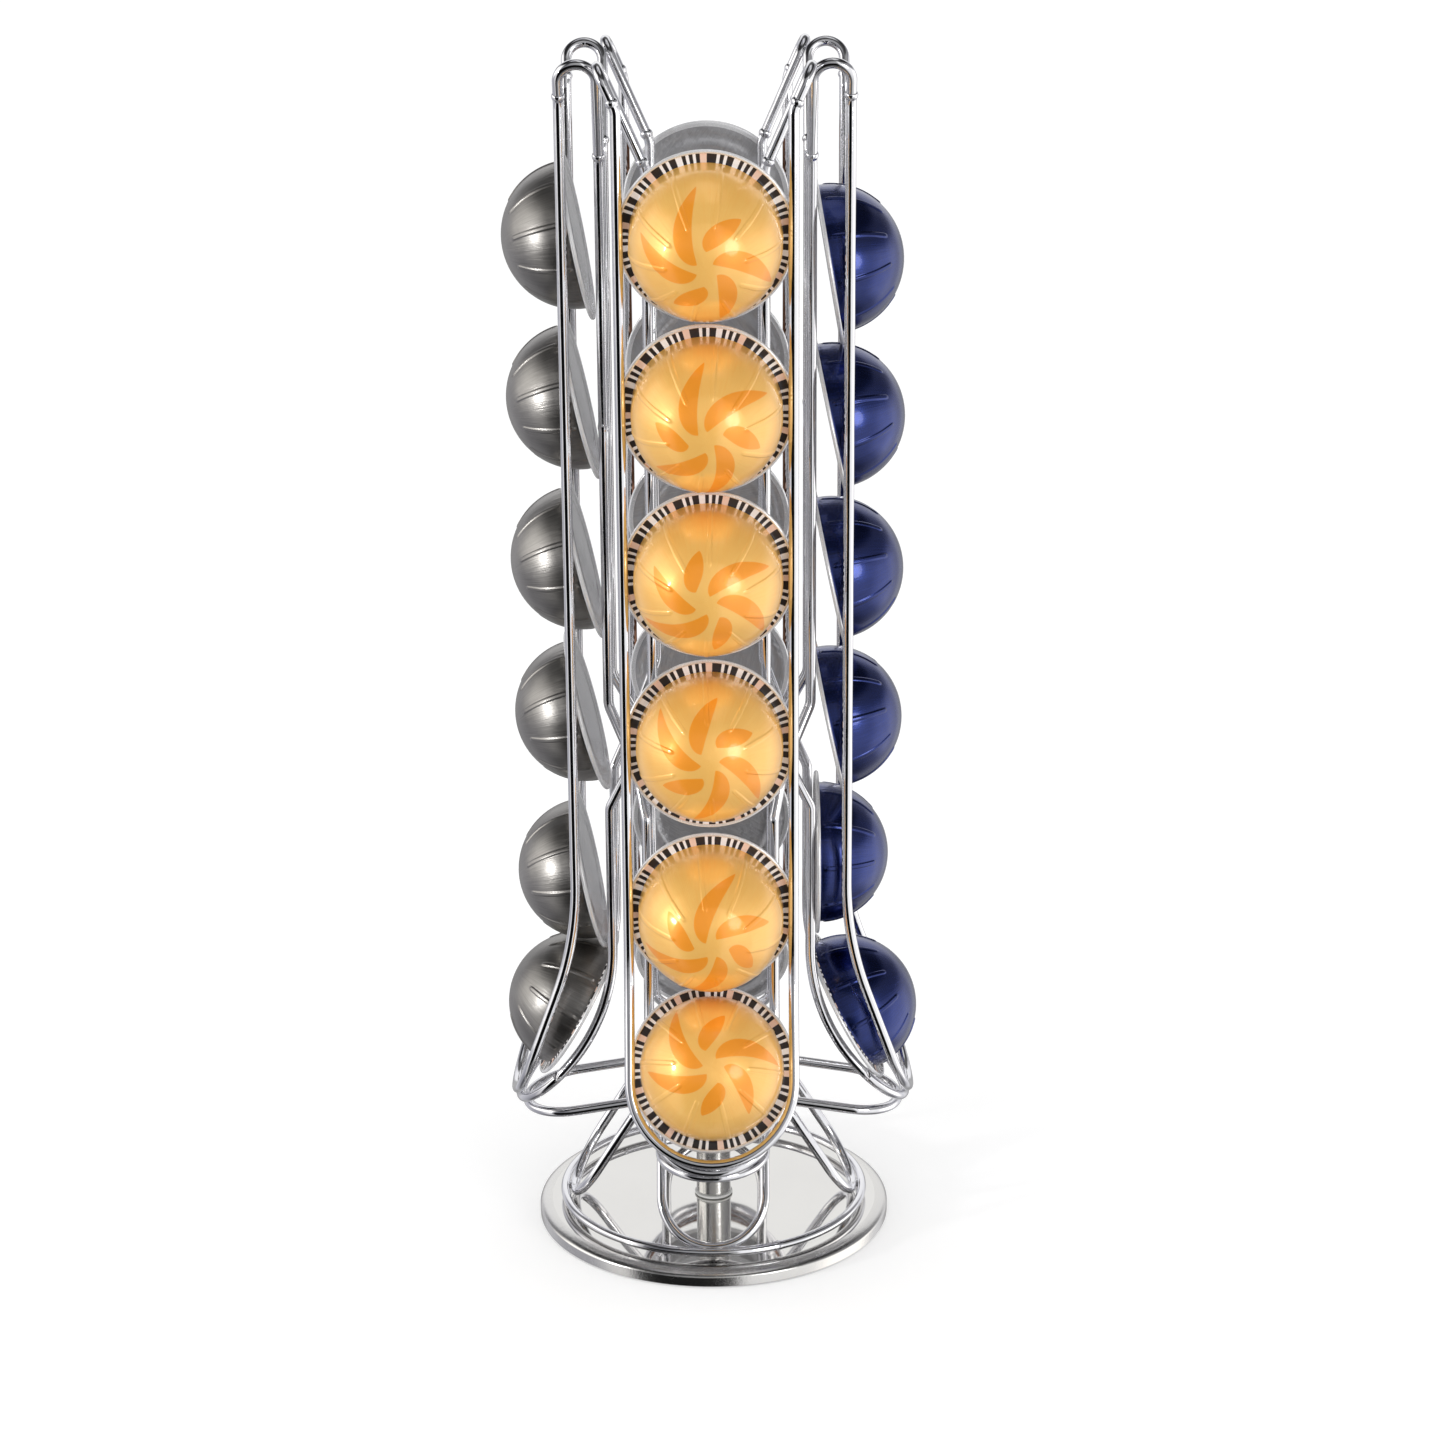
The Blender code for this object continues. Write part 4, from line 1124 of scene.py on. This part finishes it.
# %% The four shell colours
shells = {
    "front": shell_finish("gold_shell", 0.30, ((1.0, 0.50, 0.100), (1.0, 0.61, 0.165)), (0.32, 0.42),
                          0.00008, coat=0.8, coat_roughness=0.12, leaf=(1.0, 0.35, 0.020)),
    "right": shell_finish("blue_shell", 1.0, ((0.014, 0.022, 0.105), (0.034, 0.056, 0.240)), (0.20, 0.30),
                          0.00006, coat=0.5, coat_roughness=0.08),
    "back": shell_finish("brown_shell", 1.0, ((0.20, 0.09, 0.05), (0.36, 0.18, 0.11)), (0.24, 0.34), 0.00008,
                         coat=0.4, coat_roughness=0.12),
    "left": shell_finish("grey_shell", 1.0, ((0.205, 0.197, 0.188), (0.42, 0.405, 0.385)), (0.28, 0.40),
                         0.00012, coat=0.10, coat_roughness=0.20),
}
print("finishes of the capsules:", len(bpy.data.materials), "materials so far")

# %% Make the two capsules
# Height, rib height, where a rib starts along the shell, and degrees up the dome where it ends
CAPSULE_SIZES = {"short": (0.0279, 0.00034, 0.0040, 50.0), "tall": (0.0349, 0.00020, 0.0050, 58.0)}
# Degrees of fine mesh round each rib
FINE_TURN = 8.4
SWEEPS = [(14, FINE_TURN), (6, 360 / RIBS - FINE_TURN)] * RIBS
LID_TOP = 0.0006
FLANGE_INNER_RADIUS = SHELL_RADIUS + 0.00015
FLANGE_OUTER_RADIUS = 0.0297
LID_RADIUS = 0.0290


def make_capsule(name, height, rib_height, rib_start, rib_end):
    thing = turned(name, capsule_outline(height, rib_end), SWEEPS)
    # Spin turns clockwise, so half the fine stretch brings its middle to the first rib
    thing.data.transform(turn_about("Z", FINE_TURN / 2))
    dress(thing, lid_foil, rim_metal, printed_ticks, chrome)
    for face in thing.data.polygons:
        outwards = math.hypot(face.center.x, face.center.y)
        above = face.center.z > LID_TOP
        if above and outwards < FLANGE_INNER_RADIUS:
            face.material_index = 3
        elif above and outwards < FLANGE_OUTER_RADIUS:
            face.material_index = 2
        elif outwards > LID_RADIUS:
            face.material_index = 1
    lay_out_maps(thing)
    press_ribs(thing, height, rib_height, rib_start, rib_end)
    return thing


capsule_patterns = {size: make_capsule(size + "_capsule", *sizes) for size, sizes in CAPSULE_SIZES.items()}
print("capsule faces:", [len(pattern.data.polygons) for pattern in capsule_patterns.values()])

# %% Load the channels
LOADS = {"front": ("tall", "gold_shell"), "right": ("short", "blue_shell"),
         "back": ("tall", "brown_shell"), "left": ("short", "grey_shell")}
RIM_SEAT = RAIL_WIRE / 2 + WELD_GAP + BEAD_RADIUS
OUTER_CHORD = math.sqrt(RIM_RADIUS ** 2 - OUTER_HALF ** 2)
INNER_CHORD = math.sqrt(RIM_RADIUS ** 2 - INNER_HALF_ABOVE ** 2)
OUTER_SEAT_SHARE = 0.87
INNER_SEAT_SHARE = 0.94
# Degrees that each capsule is turned about its own axis from the one below, and from the next channel's
SPIN_PER_CAPSULE = 67
SPIN_PER_CHANNEL = 40


def capsule_radius(channel, number):
    """How far the middle of a rim is from the turning axis."""
    lean = math.radians(LEANS[channel][number - 1])
    if number == 1:
        return OUTER_FOOT_RADIUS - LOWEST_INSET[channel] - RIM_RADIUS * math.sin(lean)
    if channel == "right":
        return INNER_RADIUS + RIM_SEAT + INNER_CHORD * INNER_SEAT_SHARE * math.tan(abs(lean))
    return OUTER_RADIUS - RIM_SEAT - OUTER_CHORD * OUTER_SEAT_SHARE * math.tan(abs(lean))


for index, channel in enumerate(CHANNELS):
    size, slot_name = LOADS[channel]
    for number, height in enumerate(capsule_heights(channel), 1):
        stand = (quarter_turn(index) @ Matrix.Translation(place(0, capsule_radius(channel, number), height))
                 @ turn_about("X", 90 - LEANS[channel][number - 1])
                 @ Matrix.Translation((0, 0, -BEAD_RADIUS))
                 @ turn_about("Z", SPIN_PER_CAPSULE * number + SPIN_PER_CHANNEL * index))
        node = f"{channel}_capsule_{number}"
        capsule = copied(capsule_patterns[size], node, stand)
        capsule.data.materials[3] = shells[channel]
        body = "carousel" if number == 1 else node + "_body"
        finish_piece(capsule, node + "_cup", body, slot_name, node)
for pattern in capsule_patterns.values():
    remove(pattern)
print("24 capsules loaded")

# %% [markdown]
# ## Hidden steel
# The ballast, pad, bolt, top washer and hub plate keep the shapes of the solid model. They only get
# finishes that show when the rack is seen from below or from above.

# %% Finishes of the carried-over solids
for node, finish in {"base_ballast": dark_steel, "base_pad": black_rubber, "pivot_bolt": satin_steel,
                     "top_washer": satin_steel, "hub_plate": weld_chrome}.items():
    dress(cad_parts[node], finish)
print("carried-over solids have their finishes")

# %% [markdown]
# ## Light and floor
# The rack stands in a white product studio: a small hard lamp on the left and a broad soft one on the
# right, with a dark gap between them where the photographer stood. Chrome shows that room, so the world
# is painted for mirror rays: walls of many tones, a light box on each side, and shades above and behind.
# The gap draws the thin black line down the middle of every wire.

# %% Directions in the room
ROOM_STRENGTH = 1.5

world = bpy.data.worlds.new("white_studio")
bpy.context.scene.world = world
world.use_nodes = True
room_tree = world.node_tree
room_tree.nodes.clear()
direction = add_node(room_tree, "TexCoord").outputs["Generated"]
split = add_node(room_tree, "SeparateXYZ", {0: direction}).outputs
from_viewer = math_node(room_tree, "ARCTAN2", split["X"], product(room_tree, split["Y"], -1.0))
turn_share = math_node(room_tree, "MULTIPLY_ADD", from_viewer, 1 / (2 * math.pi), 0.5)
from_horizon = math_node(room_tree, "ARCSINE", split["Z"])
rise_share = math_node(room_tree, "MULTIPLY_ADD", from_horizon, 1 / math.pi, 0.5)


def by_turn(stops, strength=1.0):
    """Stops are (degrees from the viewer, positive to the right, grey or colour)."""
    places = []
    for degrees, tone in stops:
        colour = tone if isinstance(tone, tuple) else (tone,) * 3
        places.append((0.5 + degrees / 360, tuple(part / strength for part in colour)))
    return ramp_node(room_tree, turn_share, places)


def by_rise(stops):
    """Stops are (degrees above the horizon, grey)."""
    return ramp_node(room_tree, rise_share, [(0.5 + degrees / 180, (grey,) * 3) for degrees, grey in stops])


def patch(turns, rises):
    """A soft-edged patch of the room, 1 inside and 0 outside."""
    return product(room_tree, by_turn(turns), by_rise(rises))


def without(shade):
    return math_node(room_tree, "SUBTRACT", 1.0, shade)


print("the room is painted at a strength of", ROOM_STRENGTH)

# %% The room as mirror rays see it
BACK_WALL, CORNER, SIDE_WALL = (0.95, 0.95, 0.97), (0.60, 0.60, 0.64), (0.42, 0.42, 0.46)
LAMP_WALL = (0.85, 0.84, 0.84)
walls = by_turn([(-180, 1.0), (-158, BACK_WALL), (-138, CORNER), (-110, SIDE_WALL), (-84, SIDE_WALL),
                 (-66, LAMP_WALL), (-58, LAMP_WALL), (-50, (0.36, 0.36, 0.39)), (-40, (0.24, 0.24, 0.26)),
                 (14, 0.5), (19, (0.97, 0.97, 0.98)), (58, 1.0), (70, BACK_WALL), (90, (0.75, 0.75, 0.78)),
                 (118, CORNER), (148, (0.90, 0.90, 0.92)), (180, 1.0)], ROOM_STRENGTH)
gap = patch([(-56, 0), (-48, 1), (12, 1), (18, 0)],
            [(-58, 0.2), (-46, 0.99), (-5, 0.99), (3, 0.2), (40, 0.1), (75, 0.1)])
ceiling = by_rise([(-90, 0.50), (-64, 0.20), (-50, 0.70), (-24, 1.0), (35, 1.0), (43, 0.12), (62, 0.12),
                   (72, 0.75), (90, 0.80)])
side_shade = patch([(-152, 0), (-138, 1), (-34, 1), (-22, 0), (24, 0), (34, 1), (138, 1), (152, 0)],
                   [(9, 0.0), (18, 0.65), (60, 0.65), (72, 0.0)])
back_shade = patch([(-154, 1), (-140, 0), (140, 0), (154, 1)],
                   [(-62, 0.0), (-46, 0.55), (-2, 0.55), (9, 0.0)])
left_box = patch([(-126, 0), (-104, 1), (-66, 1), (-50, 0)], [(-12, 0.0), (2, 1.0), (26, 1.0), (40, 0.0)])
right_box = patch([(64, 0), (80, 1), (112, 1), (130, 0)], [(-46, 0.0), (-34, 1.0), (2, 1.0), (14, 0.0)])
shades = math_node(room_tree, "ADD", side_shade, back_shade)
lit_share = product(room_tree, without(gap), ceiling, without(shades))
painted_walls = mix_colour(room_tree, lit_share, (0.0, 0.0, 0.0), walls)
room_colour = mix_colour(room_tree, math_node(room_tree, "MAXIMUM", left_box, right_box), painted_walls,
                         (1.0, 0.98, 0.95))
print("the room has", len(room_tree.nodes), "nodes")

# %% Join the mirror room, the even daylight and the white behind the rack
DAYLIGHT_STRENGTH = 0.93


def background(strength, colour=(1.0, 1.0, 1.0)):
    return add_node(room_tree, "Background", {"Color": colour, "Strength": strength}).outputs[0]


def either(share, first, second):
    return add_node(room_tree, "MixShader", {0: share, 1: first, 2: second}).outputs[0]


by_mirror = either(add_node(room_tree, "LightPath").outputs["Is Glossy Ray"], background(DAYLIGHT_STRENGTH),
                   background(ROOM_STRENGTH, room_colour))
by_camera = either(seen_directly(room_tree), by_mirror, background(1.0))
add_node(room_tree, "OutputWorld", {"Surface": by_camera})
print("even daylight has a strength of", DAYLIGHT_STRENGTH)

# %% Lamps
LAMP_DISTANCE = 1.6
AIM_HEIGHT = 0.24


def area_lamp(name, turn_degrees, rise_degrees, size, power):
    """A round lamp that faces the middle of the rack, placed by degrees from the viewer."""
    lamp_data = bpy.data.lights.new(name, "AREA")
    lamp_data.shape = "DISK"
    lamp_data.size = size
    lamp_data.energy = power
    lamp = bpy.data.objects.new(name, lamp_data)
    bpy.context.scene.collection.objects.link(lamp)
    turn, rise = math.radians(turn_degrees), math.radians(rise_degrees)
    arm = Vector((math.sin(turn) * math.cos(rise), -math.cos(turn) * math.cos(rise), math.sin(rise)))
    arm *= LAMP_DISTANCE
    lamp.location = arm + Vector((0, 0, AIM_HEIGHT))
    lamp.rotation_euler = (-arm).to_track_quat("-Z", "Y").to_euler()


area_lamp("left_lamp", -63, 6, 0.11, 6.0)
area_lamp("right_lamp", 38, 8, 0.60, 4.2)
print("two lamps are up")

# %% [markdown]
# The floor is wide, white and matt. What the camera sees of it glows a little, so that it fades into
# the white behind the rack, and mirror rays don't see it at all.

# %% Floor
FLOOR_SIZE = 60.0
FLOOR_WHITE = (0.80, 0.80, 0.80)
FLOOR_GLOW = 0.30

start_clean()
bpy.ops.mesh.primitive_plane_add(size=FLOOR_SIZE, location=(0, 0, 0))
floor = bpy.context.object
floor.name = "studio_floor"
floor_white, floor_tree, floor_shader = new_material("floor_white", 0.0, 0.9)
glow = product(floor_tree, seen_directly(floor_tree), FLOOR_GLOW)
feed(floor_tree, floor_shader, {"Base Color": FLOOR_WHITE, "Specular IOR Level": 0.0,
                                "Emission Color": (1.0, 1.0, 1.0), "Emission Strength": glow})
dress(floor, floor_white)
floor.visible_glossy = False
print("floor glow is", FLOOR_GLOW)

# %% Colour management
bpy.context.scene.view_settings.view_transform = "Standard"
